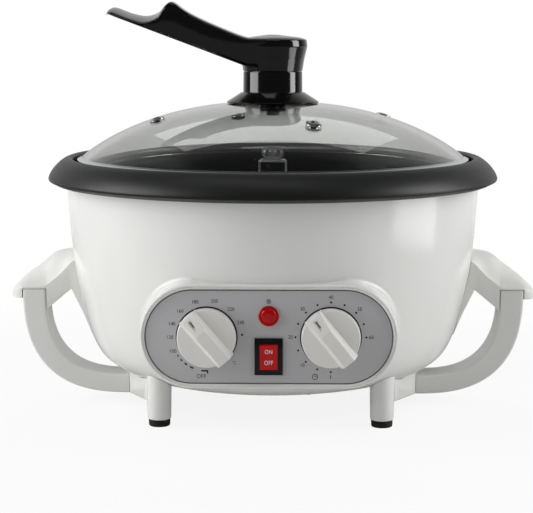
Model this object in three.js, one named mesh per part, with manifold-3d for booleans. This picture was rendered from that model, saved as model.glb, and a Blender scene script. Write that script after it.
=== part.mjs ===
// Home coffee bean roaster: a heated non-stick pan with a driven stirrer, in a bowl-shaped housing
// with a control panel, two side handles, four legs and a loose glass lid with a lever knob.
// Millimetres, +Z up, front towards -Y. The origin is on the ground below the pan's axis.

import * as THREE from 'three';
import { mergeVertices } from 'three/addons/utils/BufferGeometryUtils.js';
import Module from 'manifold-3d';

const wasm = await Module();
wasm.setup();

// Clearances that many pieces share
const gap = 0.3; // between two pieces that touch
const overrun = 2; // how far a cut runs past what it cuts
const pairCount = 2;
const quarterCount = 4;

// Facets of round pieces
const bowlFacets = 36;
const knobFacets = 20;
const rodFacets = 10;
const curveSteps = 6;

// Housing, a bowl with a flat floor
const bowlRadius = 151.5;
const bowlFloorZ = 24;
const bowlRimZ = 166.7;
const bowlWall = 2.6;
const bowlOpeningShare = 0.4885; // of the bowl's radius
const bowlOpeningRadius = bowlRadius * bowlOpeningShare;
// Outline from the rim down: share of the rim's radius, and share of the height above the floor
const bowlOutlineShares = [
  [1, 1], [0.993, 0.86], [0.981, 0.7], [0.963, 0.54], [0.936, 0.4], [0.909, 0.28],
  [0.88, 0.185], [0.838, 0.11], [0.772, 0.055], [0.7, 0.02], [0.63, 0],
];

// Rim ring, the black trim that carries the pan's flange
const ringOverhang = 13.5;
const ringRadius = bowlRadius + ringOverhang;
const ringWidestHeight = 2.2; // above the bowl's rim, as the next three
const ringCrestHeight = 17;
const ringShelfHeight = 5.6;
const ringBottomHeight = -1.7;
const ringWidestZ = bowlRimZ + ringWidestHeight;
const ringCrestInset = 0.7;
const ringCrestRadius = bowlRadius - ringCrestInset;
const ringCrestZ = bowlRimZ + ringCrestHeight;
const ringBottomZ = bowlRimZ + ringBottomHeight;
const ringBottomReach = 8;
const ringBottomRadius = bowlRadius + ringBottomReach;
const ringInnerInset = 4.2;
const ringInnerRadius = bowlRadius - ringInnerInset;
const ringWall = 2.4;
const ringCurveExponent = 1.4;
const ringShelfWidth = 5.7;
const ringShelfRadius = ringInnerRadius - ringShelfWidth;
const ringShelfZ = bowlRimZ + ringShelfHeight;
const ringShelfThickness = 3;
const ringSkirtDepth = 10;
const ringSkirtZ = bowlRimZ - ringSkirtDepth;
const ringSkirtThickness = 2.6;

// Roasting pan with its centre column
const panClearance = 2.2; // between the pan's wall and the ring's shelf
const panRadius = ringShelfRadius - panClearance;
const panFlangeClearance = 0.7;
const panFlangeRadius = ringInnerRadius - panFlangeClearance;
const panWall = 1.8;
const panDepth = 61.6;
const panFloorZ = ringShelfZ - panDepth;
const panTaper = 17.4;
const panFloorRadius = panRadius - panTaper;
const panCornerRadius = 12;
const columnRadius = 8;
const columnBoreRadius = 5.6;
const columnFootRadius = 13;
const columnFootThickness = 0.9;
const columnFootHeight = 3;
const columnHeight = 39;
const columnTopZ = panFloorZ + columnHeight;

// Lid: glass dome in a steel band
const lidClearance = 4.3; // between the glass and the ring's inner face
const glassRadius = ringInnerRadius - lidClearance;
const glassShoulderHeight = 8.8; // above the ring's shelf
const glassShoulderZ = ringShelfZ + glassShoulderHeight;
const glassRise = 42.6;
const glassThickness = 4;
const domeRadialExponent = 2.3;
const domeExponent = 0.86;
const domeStationShares = [0, 0.22, 0.42, 0.56, 0.67, 0.8, 0.92, 1];
const bandThickness = 0.8;
const bandFootWidth = 6.5;
const bandTopZ = glassShoulderZ + bandThickness;
const ventCount = 4;
const ventPitchRadius = 88;
const ventFirstDeg = -70.4;
const ventHoleRadius = 3.6;
const ventFlangeRadius = 5.6;
const ventBoreRadius = 2.2;
const ventFlangeHeight = 1.6;

// Lid knob: flange, neck and lever
const knobStemHoleRadius = 5;
const washerRadius = 12;
const washerThickness = 1;
const knobBaseRadius = 34;
const knobBaseTopRadius = 23.4;
const knobBaseHeight = 49.6; // above the glass's shoulder
const knobBaseTopZ = glassShoulderZ + knobBaseHeight;
const knobNeckRadius = 21.6;
const knobNeckHeight = 15;
const knobNeckTopZ = knobBaseTopZ + knobNeckHeight;
const hubBottomRadius = 21.8;
const hubRadius = 25.4;
const hubHeight = 18;
const hubWidestZ = knobNeckTopZ + hubHeight;
const hubCrownHeight = 7.6;
const hubTopZ = hubWidestZ + hubCrownHeight;
// Crown of the hub: how far in from its widest point and how far down, as shares of its flare
const hubCrownShares = [[0.25, 0.5], [1, 0.125]];
const leverReach = 121.8;
const leverRise = 25.6;
const leverRootReach = 8;
const leverHalfWidth = 15;
const leverUndersideRootReach = 23.5;
const leverUndersideRootHeight = 5.5; // above the neck
const leverUndersideRootZ = knobNeckTopZ + leverUndersideRootHeight;
const leverUndersideTipReach = 118.5;
const leverUndersideTipHeight = 15.2; // above the hub
const leverUndersideTipZ = hubTopZ + leverUndersideTipHeight;
// Top of the lever from the tip to the hub: share of its reach, and share of its rise above the hub
const leverTopShares = [
  [1, 0.7], [0.985, 0.82], [0.955, 0.87], [0.91, 0.8], [0.86, 0.71], [0.772, 0.625], [0.7, 0.72],
  [0.65, 0.93], [0.61, 1], [0.575, 0.93], [0.535, 0.785], [0.46, 0.58], [0.31, 0.265], [0.165, 0.02],
];
// Half outline of the lever seen from above: share of its reach, and share of its half width
const leverPlanShares = [[0.45, 1], [0.9, 0.94], [0.96, 0.8], [0.99, 0.5], [1, 0.2]];
const lidNutRadius = 9.3;
const lidNutCoreRadius = 7.6;
const lidNutThickness = 4.5;
const lidNutLobes = 8;
const lidNutLobeWidth = 4;
const lidScrewRadius = 2.5;
const lidScrewHeadRadius = 4.8;
const lidScrewHeadHeight = 3;
const lidScrewReach = 5; // into the neck
const lidScrewTopZ = knobBaseTopZ + lidScrewReach;
const knobStemRadius = 4.6;
const knobStemLength = 16; // below the base's top
const knobStemEndZ = knobBaseTopZ - knobStemLength;

// Stirrer
const driveShaftRadius = 3.5;
const driveShaftProud = 24; // above the pan's column
const driveShaftTopZ = columnTopZ + driveShaftProud;
const hubSleeveRadius = 7;
const hubSleeveLift = 4; // above the pan's column, as the next one
const bracketLift = 4.5;
const hubSleeveFootZ = columnTopZ + hubSleeveLift;
const hubFinThickness = 3;
const hubFinWidth = 12;
const bracketWidth = 21;
const bracketDepth = 12;
const bracketStrip = 1.6;
const bracketProud = 5.8; // above the shaft
const bracketTopZ = driveShaftTopZ + bracketProud;
const bracketFootZ = columnTopZ + bracketLift;
const tabWidth = 16.4;
const tabHeight = 9;
const tabThickness = 1.5;
const tabScrewSpacing = 8;
const tabScrewRadius = 1.5;
const tabScrewHeadRadius = 2.7;
const tabScrewHeadHeight = 1.6;
const bladeReach = 116;
const bladeHeight = 59;
const bladeThickness = 2;
const bladeFloorClearance = 1.5;
const bladeEarWidth = 10;
const bladeEarHeight = 17;
// Outline of a blade: share of its reach from the bracket, and share of its height above the floor
const bladeOutlineShares = [
  [0, 1], [0.03, 1], [0.18, 0.36], [0.97, 0.3], [1, 0.18], [0.87, 0], [0.1, 0], [0.03, 0.28], [0, 0.7],
];
const rivetRadius = 1.8;
const rivetHeadRadius = 3;
const rivetHeadHeight = 1;
const rivetSpacing = 8;

// Control panel and its boss on the housing
const panelInset = 1.5; // behind the bowl's widest point
const panelFrontY = panelInset - bowlRadius;
const panelCentreZ = 75.8;
const panelWidth = 163.4;
const panelHeight = 62.6;
const panelThickness = 1.5;
const bossMargin = 3;
const bossLipHeight = 1;
const bossDepth = 64;
const bossRootY = panelFrontY + bossDepth;
const controlSpacingShare = 0.5006; // of the panel's width
const controlSpacing = panelWidth * controlSpacingShare;
const shaftHoleRadius = 5;
const knobRadius = 19.6;
const knobDiscDepth = 7;
const knobLift = 1;
const knobGripDepth = 7;
const knobGripBaseWidth = 13.5;
const knobGripTopWidth = 8;
const knobGripRampShare = 0.72;
const knobPointerRiseShare = 0.66; // of the grip's height, at the pointer's inner end
const knobPointerWidth = 1.6;
const knobPointerLength = 9;
const knobPointerDepth = 0.6;
const temperatureKnobDeg = -41;
const timerKnobDeg = -39;
const controlShaftRadius = 3;
const controlShaftInset = 9;
const shaftSocketDepth = 9;
const thermostatRadius = 17;
const thermostatDepth = 22;
const timerRadius = 21;
const timerDepth = 32;
const lampOffsetZ = 14.2;
const lampRadius = 6.8;
const lampBarrelRadius = 4.8;
const lampDomeHeight = 3.4;
const lampDepth = 20;
const rockerOffsetZ = -13;
const rockerWidth = 11.9;
const rockerHeight = 17;
const rockerDepth = 7;
const rockerKeelShare = 0.25; // half width of the keel, of the rocker's half height
const rockerTiltDeg = 7;
const bezelWidth = 18.6;
const bezelHeight = 24.6;
const bezelProud = 1.8;
const switchBodyWidth = 15.5;
const switchBodyHeight = 21;
const switchBodyDepth = 17;
const switchWall = 1.5;
const rockerPinRadius = 1.2;
const rockerPinLength = 1.2;
const terminalTabWidth = 5;
const terminalTabLength = 7;
const terminalTabThickness = 0.8;

// Legs and feet
const legPlaceShareX = 0.5162; // of the bowl's radius, as the next one
const legPlaceShareY = 0.5611;
const legPlaceX = bowlRadius * legPlaceShareX;
const legPlaceY = bowlRadius * legPlaceShareY;
const legTopRadius = 9.2;
const legBottomRadius = 8.2;
const legBottomZ = 5;
const legScrewRadius = 2;
const legRecessRadius = 4.8;
const legRecessDepth = 15;
const legBossRadius = 6.5;
const legBossTopZ = 66;
const legScrewTopZ = 60;
const footRadius = 7.6;
const footHeight = 4.7;

// Side handles
const handleHalfDepth = 15;
const gripRootShare = 0.7063; // of the bowl's radius
const gripRootX = bowlRadius * gripRootShare;
const gripTopZ = 85.2;
const gripOuterReach = 78.6;
const gripOuterDrop = 78.2;
const gripOuterExponent = 2.6;
const gripInnerReach = 61.4;
const gripInnerDrop = 63.9;
const gripInnerExponent = 2.8;
const thumbOverhang = 42.9;
const thumbTipX = bowlRadius + thumbOverhang;
const thumbTipRadius = 11;
const thumbLipZ = 78.5;
const thumbCrownSteps = 4;
const thumbCrownExponent = 1.7;
const thumbRootShare = 0.8779; // of the bowl's radius
const thumbRootX = bowlRadius * thumbRootShare;
const thumbRidgeZ = 115.6;
// Corners of the arm's underside, as shares of the bowl's radius
const armUndersideRootShare = 0.9855;
const armRibMiddleShare = 0.928;
const armRibFootShare = 0.8937;
const armUndersideRootX = bowlRadius * armUndersideRootShare;
const armUndersideRootZ = 85.6;
const armRibMiddleX = bowlRadius * armRibMiddleShare;
const armRibMiddleZ = 67.5;
const armRibFootX = bowlRadius * armRibFootShare;
const armRibFootZ = 52;
const armUndersideTipZ = 70.2;
// Top of the thumb plate from the housing out: share of its reach, and the heights of its ridge and
// its edges as shares of its height over the grip
const thumbTopShares = [
  [0, 1, 0.8], [0.216, 0.966, 0.742], [0.317, 0.95, 0.55], [0.418, 0.912, 0.34],
  [0.503, 0.834, 0.21], [0.587, 0.69, 0.08], [0.689, 0.528, 0.045], [0.79, 0.378, 0.038],
  [0.89, 0.205, 0.034], [1, -0.02, -0.06],
];
const handlePegRadius = 1.8;
const handlePegHeadRadius = 3.6;
const handlePegHeadHeight = 2;
const handlePegOverhang = 4.5;
const handlePegReach = bowlRadius + handlePegOverhang;
const handlePegZ = 101.7;
const handlePegY = 7;

// Brackets between the handles' lower ends, the floor and the legs
const sideBracketBottomZ = 7.2;
const sideBracketLegBottomZ = 16.5;
const sideBracketWidth = 23;
const sideBracketInnerX = gripRootX - sideBracketWidth;
const sideBracketInnerY = 24;
const sideBracketArmInset = 7.2; // from a leg's axis, as the next ones
const sideBracketArmReach = 9.8;
const sideBracketArmSetback = 11;
const sideBracketArmSide = 5;
const sideBracketArmInnerX = legPlaceX - sideBracketArmInset;
const sideBracketArmOuterX = legPlaceX + sideBracketArmReach;
const sideBracketArmInnerY = legPlaceY - sideBracketArmSetback;
const sideBracketArmOuterY = legPlaceY - sideBracketArmSide;
const bracketScrewInset = 18; // from the handle's lower end
const bracketScrewX = gripRootX - bracketScrewInset;
const bracketScrewY = 16;
const bracketScrewTopZ = 30;
const bracketScrewRadius = 1.8;
const bracketScrewHeadRadius = 3.6;
const bracketScrewSeatZ = 14;
const floorBossRadius = 4.5;
const floorBossTopZ = 32;

// Base cover
const coverThickness = 2.2;
const coverOverlap = 6;
const coverVentCount = 9;
const coverVentLength = 60;
const coverVentWidth = 3;
const coverVentPitch = 9;
const coverScrewRadius = 1.5;
const coverScrewHeadRadius = 2.8;
const coverScrewHeadHeight = 1.4;
const coverScrewTurnDeg = 20;
const coverScrewTopZ = 26;

// Heating and drive below the pan
const elementInset = 30; // from the edge of the pan's floor
const elementRadius = panFloorRadius - elementInset;
const elementRodRadius = 4;
const elementGapDeg = 40;
const elementSteps = 40;
const elementLegDrop = 26;
const clipWidth = 8;
const clipTurnsDeg = [30, 150, 270];
const shieldInset = 10; // from the edge of the pan's floor
const shieldRadius = panFloorRadius - shieldInset;
const shieldThickness = 1;
const shieldDrop = 21; // below the pan's floor
const shieldZ = panFloorZ - shieldDrop;
const shieldRimHeight = 11;
const shieldRimZ = shieldZ + shieldRimHeight;
const shieldHoleRadius = 16;
const standoffRadius = 3.5;
const standoffNeckRadius = 2.4;
const standoffPitchRadius = 66;
const standoffTurnsDeg = [45, 165, 285];
const motorPlateThickness = 2;
const motorPlateDrop = 8;
const motorPlateRadius = 72;
const motorRadius = 29;
const motorHeight = 34;
const motorNoseRadius = 6.5;
const motorNoseHeight = 4;
const motorStudPitchRadius = 20;
const motorStudRadius = 1.8;
const motorStudProud = 3;
const driveShaftInset = 8;
const bushLength = 10;
const cutoutRadius = 8;
const cutoutHeight = 7;
const cutoutPlaceX = 45;
const terminalWidth = 34;
const terminalDepth = 16;
const terminalHeight = 14;
const terminalInset = 24; // from the edge of the housing's opening
const terminalPlaceY = bowlOpeningRadius - terminalInset;
const glandZ = 65;
const glandRadius = 6.4;
const glandBoreRadius = 3.8;
const glandFlangeRadius = 9.5;
const glandInset = 16;
const glandProud = 6;

// Colours and finishes
const finishes = {
  whiteShell: { color: 0xe4e3e0, roughness: 0.28, metalness: 0 },
  greyGrip: { color: 0xbdbcb7, roughness: 0.45, metalness: 0 },
  blackTrim: { color: 0x1a1b1d, roughness: 0.5, metalness: 0 },
  blackGloss: { color: 0x0a0a0a, roughness: 0.18, metalness: 0 },
  nonStick: { color: 0x202022, roughness: 0.42, metalness: 0.2 },
  glass: { color: 0xc8cccb, roughness: 0.05, metalness: 0, transparent: true, opacity: 0.35 },
  steel: { color: 0xc9cacb, roughness: 0.25, metalness: 1 },
  darkSteel: { color: 0x77787a, roughness: 0.4, metalness: 1 },
  silverPanel: { color: 0x8d8d8f, roughness: 0.35, metalness: 0.4 },
  ivory: { color: 0xd3d1cc, roughness: 0.35, metalness: 0 },
  red: { color: 0xb4101c, roughness: 0.25, metalness: 0 },
  rubber: { color: 0x111112, roughness: 0.8, metalness: 0 },
  brass: { color: 0xb08d4a, roughness: 0.35, metalness: 1 },
};

const group = new THREE.Group();

// Adds a named assembly, whose own origin is where it sits in the object
function addAssembly(name, x, y, z) {
  const assembly = new THREE.Group();
  assembly.name = name;
  assembly.position.set(x, y, z);
  group.add(assembly);
  return assembly;
}

// Adds one named piece, drawn at its own origin, at a place of the object and turned there
function addPlacedPiece(assembly, name, finish, solid, place, turn) {
  const mesh = new THREE.Mesh(toGeometry(solid), new THREE.MeshStandardMaterial(finishes[finish]));
  mesh.name = name;
  mesh.position.copy(place).sub(assembly.position);
  mesh.quaternion.copy(turn);
  assembly.add(mesh);
}

// Adds one named piece that is drawn where it sits in the object
function addPiece(assembly, name, finish, solid) {
  const { x, y, z } = assembly.position;
  const drawn = solid.translate([-x, -y, -z]);
  addPlacedPiece(assembly, name, finish, drawn, assembly.position, new THREE.Quaternion());
}

// Turns a geometry into a solid, with shared vertices and faces pointing out
function toSolid(source) {
  const bare = source.index ? source.toNonIndexed() : source.clone();
  bare.deleteAttribute('normal');
  bare.deleteAttribute('uv');
  const merged = mergeVertices(bare, 1e-4);
  const positions = merged.attributes.position.array;
  const indices = merged.index.array;
  const triangles = [];
  for (let i = 0; i < indices.length; i += 3) {
    const [a, b, c] = [indices[i], indices[i + 1], indices[i + 2]];
    if (a !== b && b !== c && c !== a) triangles.push(a, b, c);
  }
  if (signedVolume(positions, triangles) < 0) triangles.reverse();
  const vertProperties = new Float32Array(positions);
  const triVerts = new Uint32Array(triangles);
  return new wasm.Manifold(new wasm.Mesh({ numProp: 3, vertProperties, triVerts }));
}

// Six times the volume that the triangles enclose, negative when they face inwards
function signedVolume(positions, triangles) {
  const corner = (i) => new THREE.Vector3().fromArray(positions, 3 * i);
  let sum = 0;
  for (let i = 0; i < triangles.length; i += 3) {
    const [a, b, c] = [corner(triangles[i]), corner(triangles[i + 1]), corner(triangles[i + 2])];
    sum += a.dot(b.cross(c));
  }
  return sum;
}

// Turns a solid back into a geometry
function toGeometry(solid) {
  const found = solid.getMesh();
  const geometry = new THREE.BufferGeometry();
  geometry.setAttribute('position', new THREE.BufferAttribute(found.vertProperties, 3));
  geometry.setIndex(new THREE.BufferAttribute(found.triVerts, 1));
  geometry.computeVertexNormals();
  return geometry;
}

const radians = THREE.MathUtils.degToRad;

// Point on a circle round the vertical axis
function onCircle(radius, deg) {
  return [radius * Math.cos(radians(deg)), radius * Math.sin(radians(deg))];
}

// Turns a piece that stands on the floor so that it faces the front, then clockwise by an angle
function turnedToFront(deg) {
  const clockwise = new THREE.Quaternion().setFromAxisAngle(new THREE.Vector3(0, 1, 0), radians(deg));
  const forwards = new THREE.Quaternion().setFromAxisAngle(new THREE.Vector3(1, 0, 0), Math.PI / 2);
  return clockwise.multiply(forwards);
}

// Joins a list of solids that may touch
function joined(solids) {
  return solids.reduce((sum, solid) => sum.add(solid));
}

// Solid of revolution round the vertical axis, from [radius, height] points
function turned(points, facets = bowlFacets) {
  const outline = points.map(([r, z]) => new THREE.Vector2(r, z));
  const onAxis = points[0][0] === 0 && points[points.length - 1][0] === 0;
  if (!onAxis) outline.push(outline[0].clone());
  return toSolid(new THREE.LatheGeometry(outline, facets).rotateX(Math.PI / 2));
}

// Upright cylinder or cone between two heights
function post(x, y, bottomZ, topZ, bottomRadius, topRadius = bottomRadius, facets = rodFacets) {
  const geometry = new THREE.CylinderGeometry(topRadius, bottomRadius, topZ - bottomZ, facets);
  geometry.rotateX(Math.PI / 2).translate(x, y, (bottomZ + topZ) / 2);
  return toSolid(geometry);
}

// Cylinder along Y between two places
function rodAlongY(x, z, startY, endY, radius, facets = rodFacets) {
  const geometry = new THREE.CylinderGeometry(radius, radius, Math.abs(endY - startY), facets);
  return toSolid(geometry.translate(x, (startY + endY) / 2, z));
}

// Cylinder along X between two places
function rodAlongX(y, z, startX, endX, radius, facets = rodFacets) {
  const geometry = new THREE.CylinderGeometry(radius, radius, Math.abs(endX - startX), facets);
  geometry.rotateZ(Math.PI / 2).translate((startX + endX) / 2, y, z);
  return toSolid(geometry);
}

// Box between two opposite corners
function block(low, high) {
  const size = high.map((value, i) => value - low[i]);
  const centre = high.map((value, i) => (value + low[i]) / 2);
  return toSolid(new THREE.BoxGeometry(...size).translate(...centre));
}

// Outline in X and Y, raised between two heights
function raised(points, bottomZ, topZ) {
  const shape = new THREE.Shape(points.map(([x, y]) => new THREE.Vector2(x, y)));
  const geometry = new THREE.ExtrudeGeometry(shape, { depth: topZ - bottomZ, bevelEnabled: false });
  return toSolid(geometry.translate(0, 0, bottomZ));
}

// Outline in X and Z, extruded between two places along Y
function alongY(points, startY, endY) {
  const shape = new THREE.Shape(points.map(([x, z]) => new THREE.Vector2(x, z)));
  const geometry = new THREE.ExtrudeGeometry(shape, { depth: endY - startY, bevelEnabled: false });
  return toSolid(geometry.translate(0, 0, -endY).rotateX(Math.PI / 2));
}

// Outline in Y and Z, extruded between two places along X
function alongX(points, startX, endX) {
  const shape = new THREE.Shape(points.map(([y, z]) => new THREE.Vector2(y, z)));
  const geometry = new THREE.ExtrudeGeometry(shape, { depth: endX - startX, bevelEnabled: false });
  return toSolid(geometry.translate(0, 0, startX).rotateX(Math.PI / 2).rotateZ(Math.PI / 2));
}

// Stadium outline in X and Z
function stadium(width, height, centreZ, facets = knobFacets) {
  const radius = height / 2;
  const reach = width / 2 - radius;
  const half = [];
  for (let i = 0; i <= facets / 2; i += 1) {
    const angle = -Math.PI / 2 + (i / (facets / 2)) * Math.PI;
    half.push([reach + radius * Math.cos(angle), radius * Math.sin(angle)]);
  }
  const opposite = half.map(([x, z]) => [-x, -z]);
  return [...half, ...opposite].map(([x, z]) => [x, centreZ + z]);
}

// Quarter of a superellipse round a corner point, from its level end to its upright end
function superQuarter(centreX, centreZ, reach, drop, exponent, steps) {
  const points = [];
  for (let i = 0; i <= steps; i += 1) {
    const angle = (i / steps) * (Math.PI / 2);
    const x = centreX + reach * Math.cos(angle) ** (2 / exponent);
    points.push([x, centreZ + drop * Math.sin(angle) ** (2 / exponent)]);
  }
  return points;
}

// Outline of the bowl from its rim to the middle of its floor, moved outwards by a distance
function bowlOutline(distance) {
  const height = bowlRimZ - bowlFloorZ;
  const points = bowlOutlineShares.map(([r, z]) => [bowlRadius * r, bowlFloorZ + height * z]);
  points.push([0, bowlFloorZ]);
  const normals = points.slice(1).map(([r, z], i) => {
    const along = new THREE.Vector2(r - points[i][0], z - points[i][1]).normalize();
    return new THREE.Vector2(-along.y, along.x);
  });
  return points.map(([r, z], i) => {
    const before = normals[Math.max(i - 1, 0)];
    const after = normals[Math.min(i, normals.length - 1)];
    const middle = before.clone().add(after).normalize();
    const reach = distance / middle.dot(before);
    const isAxis = i === points.length - 1;
    return [isAxis ? 0 : r + reach * middle.x, z + reach * middle.y];
  });
}

// Filled bowl, grown by a distance and closed at a height
function filledBowl(distance, topZ) {
  const outline = bowlOutline(distance);
  outline[0][1] = topZ;
  return turned([...outline.reverse(), [0, topZ]]);
}

// Outer radius of the bowl at a height
function bowlRadiusAt(z) {
  const outline = bowlOutline(0);
  const above = outline.findIndex((point) => point[1] < z);
  const [[upperR, upperZ], [lowerR, lowerZ]] = [outline[above - 1], outline[above]];
  return lowerR + ((z - lowerZ) / (upperZ - lowerZ)) * (upperR - lowerR);
}

// The four corners of a rectangle round the axis
function corners(x, y) {
  return [[-x, -y], [x, -y], [-x, y], [x, y]];
}

const legPlaces = corners(legPlaceX, legPlaceY);
const bracketScrewPlaces = corners(bracketScrewX, bracketScrewY);
const handleSides = [{ name: 'left', sign: -1 }, { name: 'right', sign: 1 }];
const lampZ = panelCentreZ + lampOffsetZ;
const rockerZ = panelCentreZ + rockerOffsetZ;
const wallFrontY = panelFrontY + panelThickness + gap;
const wallBackY = wallFrontY + bowlWall;
const controlX = controlSpacing / pairCount;
const shieldFloorZ = shieldZ + shieldThickness;
const coverBottomZ = bowlFloorZ - gap - coverThickness;
const coverTopZ = coverBottomZ + coverThickness;
const coverRadius = bowlOpeningRadius + coverOverlap;
const coverScrewPitch = bowlOpeningRadius + coverOverlap / pairCount;
const coverScrewPlaces = Array.from({ length: quarterCount }, (unused, i) => (
  onCircle(coverScrewPitch, coverScrewTurnDeg + i * (360 / quarterCount))
));
const pegSeatX = bowlRadiusAt(handlePegZ - handlePegHeadRadius) - bowlWall - pairCount * gap - gap;
const standoffPlaces = standoffTurnsDeg.map((deg) => onCircle(standoffPitchRadius, deg));

// Holes that the controls need in the housing's front wall and in the panel
function controlHoles(startY, endY) {
  const shafts = [-controlX, controlX].map((x) => (
    rodAlongY(x, panelCentreZ, startY, endY, shaftHoleRadius)
  ));
  const lamp = rodAlongY(0, lampZ, startY, endY, lampBarrelRadius + gap);
  const halfWidth = switchBodyWidth / 2 + gap;
  const halfHeight = switchBodyHeight / 2 + gap;
  const low = [-halfWidth, startY, rockerZ - halfHeight];
  return joined([...shafts, lamp, block(low, [halfWidth, endY, rockerZ + halfHeight])]);
}

// Pegs of one handle through the housing's side wall
function handlePegs(sign, grow) {
  const start = sign * (pegSeatX - gap);
  return joined([-handlePegY, handlePegY].map((y) => (
    rodAlongX(y, handlePegZ, start, sign * handlePegReach, handlePegRadius + grow)
  )));
}

// Housing with its panel boss, screw bosses and openings
function makeHousing() {
  const bossWidth = panelWidth + pairCount * bossMargin;
  const bossHeight = panelHeight + pairCount * bossMargin;
  const lipFrontY = panelFrontY - bossLipHeight;
  const boss = alongY(stadium(bossWidth, bossHeight, panelCentreZ), lipFrontY, bossRootY);
  const hollowWidth = bossWidth - pairCount * bowlWall;
  const hollowHeight = bossHeight - pairCount * bowlWall;
  const hollow = alongY(stadium(hollowWidth, hollowHeight, panelCentreZ), wallBackY, bossRootY + overrun);
  const seatWidth = panelWidth + pairCount * gap;
  const seatHeight = panelHeight + pairCount * gap;
  const seat = alongY(stadium(seatWidth, seatHeight, panelCentreZ), lipFrontY - overrun, wallFrontY);
  const shell = filledBowl(0, bowlRimZ).add(boss)
    .subtract(filledBowl(-bowlWall, bowlRimZ + overrun)).subtract(hollow).subtract(seat);
  const inside = filledBowl(-bowlWall / 2, bowlRimZ);
  const legBosses = legPlaces.map(([x, y]) => (
    post(x, y, bowlFloorZ, legBossTopZ, legBossRadius).intersect(inside)
  ));
  const floorBosses = bracketScrewPlaces.map(([x, y]) => (
    post(x, y, bowlFloorZ + bowlWall / 2, floorBossTopZ, floorBossRadius)
  ));
  const legHoles = legPlaces.map(([x, y]) => (
    post(x, y, bowlFloorZ, legScrewTopZ + gap, legScrewRadius + gap)
  ));
  const bracketHoles = bracketScrewPlaces.map(([x, y]) => (
    post(x, y, bowlFloorZ - overrun, bracketScrewTopZ + gap, bracketScrewRadius + gap)
  ));
  const coverHoles = coverScrewPlaces.map(([x, y]) => (
    post(x, y, bowlFloorZ - overrun, bowlFloorZ + bowlWall + overrun, coverScrewRadius + gap)
  ));
  const openings = joined([
    post(0, 0, bowlFloorZ - overrun, bowlFloorZ + bowlWall + overrun, bowlOpeningRadius,
      bowlOpeningRadius, bowlFacets),
    controlHoles(wallFrontY - overrun, wallBackY + overrun),
    rodAlongY(0, glandZ, bossWidth / 2, bowlRadius, glandRadius + gap),
    ...legHoles, ...bracketHoles, ...coverHoles, handlePegs(-1, gap), handlePegs(1, gap),
  ]);
  return joined([shell, ...legBosses, ...floorBosses]).subtract(openings);
}

// Silver control panel, a stadium plate
function makeControlPanel() {
  const plate = alongY(stadium(panelWidth, panelHeight, panelCentreZ), panelFrontY,
    panelFrontY + panelThickness);
  return plate.subtract(controlHoles(panelFrontY - overrun, wallFrontY));
}

// Rim ring: a hollow outer curve, a skirt inside the housing and a shelf for the pan's flange
function makeRimRing() {
  const flank = superQuarter(ringCrestRadius, ringWidestZ, ringRadius - ringCrestRadius,
    ringCrestZ - ringWidestZ, ringCurveExponent, curveSteps);
  const hollow = superQuarter(ringCrestRadius, ringWidestZ, ringRadius - ringCrestRadius - ringWall,
    ringCrestZ - ringWidestZ - pairCount * ringWall, ringCurveExponent, curveSteps);
  const skirtOuter = bowlRadius - bowlWall - pairCount * gap;
  const skirtInner = skirtOuter - ringSkirtThickness;
  const lipInner = bowlRadius + gap;
  return turned([
    [skirtInner, ringSkirtZ], [skirtOuter, ringSkirtZ], [skirtOuter, bowlRimZ + gap],
    [lipInner, bowlRimZ + gap], [lipInner, ringBottomZ], [lipInner + ringWall, ringBottomZ],
    [lipInner + ringWall, ringWidestZ], ...hollow.reverse().slice(1),
    [ringBottomRadius - ringWall / 2, ringBottomZ + ringWall / 2], [ringBottomRadius, ringBottomZ],
    ...flank, [ringInnerRadius, ringCrestZ - ringWall], [ringInnerRadius, ringShelfZ],
    [ringShelfRadius, ringShelfZ], [ringShelfRadius, ringShelfZ - ringShelfThickness],
    [skirtInner, ringShelfZ - ringShelfThickness],
  ]);
}

// Roasting pan: flange, sloping wall, rounded corner and a flat floor with a hole for the column
function makeRoastingPan() {
  const flangeZ = ringShelfZ + gap;
  const cornerZ = panFloorZ + panCornerRadius;
  const cornerR = panFloorRadius - panCornerRadius;
  const inner = [];
  const outer = [];
  for (let i = 0; i <= curveSteps / 2; i += 1) {
    const angle = (i / (curveSteps / 2)) * (Math.PI / 2);
    const [sin, cos] = [Math.sin(angle), Math.cos(angle)];
    inner.push([cornerR + panCornerRadius * sin, cornerZ - panCornerRadius * cos]);
    const reach = panCornerRadius + panWall;
    outer.push([cornerR + reach * sin, cornerZ - reach * cos]);
  }
  return turned([
    [columnRadius + gap, panFloorZ - panWall], ...outer, [panRadius + panWall, flangeZ],
    [panFlangeRadius, flangeZ], [panFlangeRadius, flangeZ + panWall], [panRadius, flangeZ + panWall],
    ...inner.reverse(), [columnRadius + gap, panFloorZ],
  ]);
}

// Centre column: a tube through the pan's floor with a foot flange on it
function makePanColumn() {
  const footZ = panFloorZ + gap;
  return turned([
    [columnBoreRadius, panFloorZ - panWall], [columnRadius, panFloorZ - panWall],
    [columnRadius, footZ], [columnFootRadius, footZ], [columnFootRadius, footZ + columnFootThickness],
    [columnRadius, footZ + columnFootHeight], [columnRadius, columnTopZ], [columnBoreRadius, columnTopZ],
  ], knobFacets);
}

// Height of the glass dome's surface over a radius, for a dome of a given edge
function domeZ(radius, edgeRadius, edgeZ) {
  const share = 1 - Math.min(radius / edgeRadius, 1) ** domeRadialExponent;
  return edgeZ + glassRise * share ** domeExponent;
}

const bandBottomZ = ringShelfZ + gap + panWall + gap;
const glassBottomZ = bandBottomZ + bandThickness + gap;
const outerDomeZ = (radius) => domeZ(radius, glassRadius, glassShoulderZ);
const innerDomeZ = (radius) => (
  domeZ(radius, glassRadius - glassThickness, glassShoulderZ - glassThickness)
);
const glassTopZ = outerDomeZ(0);

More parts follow.
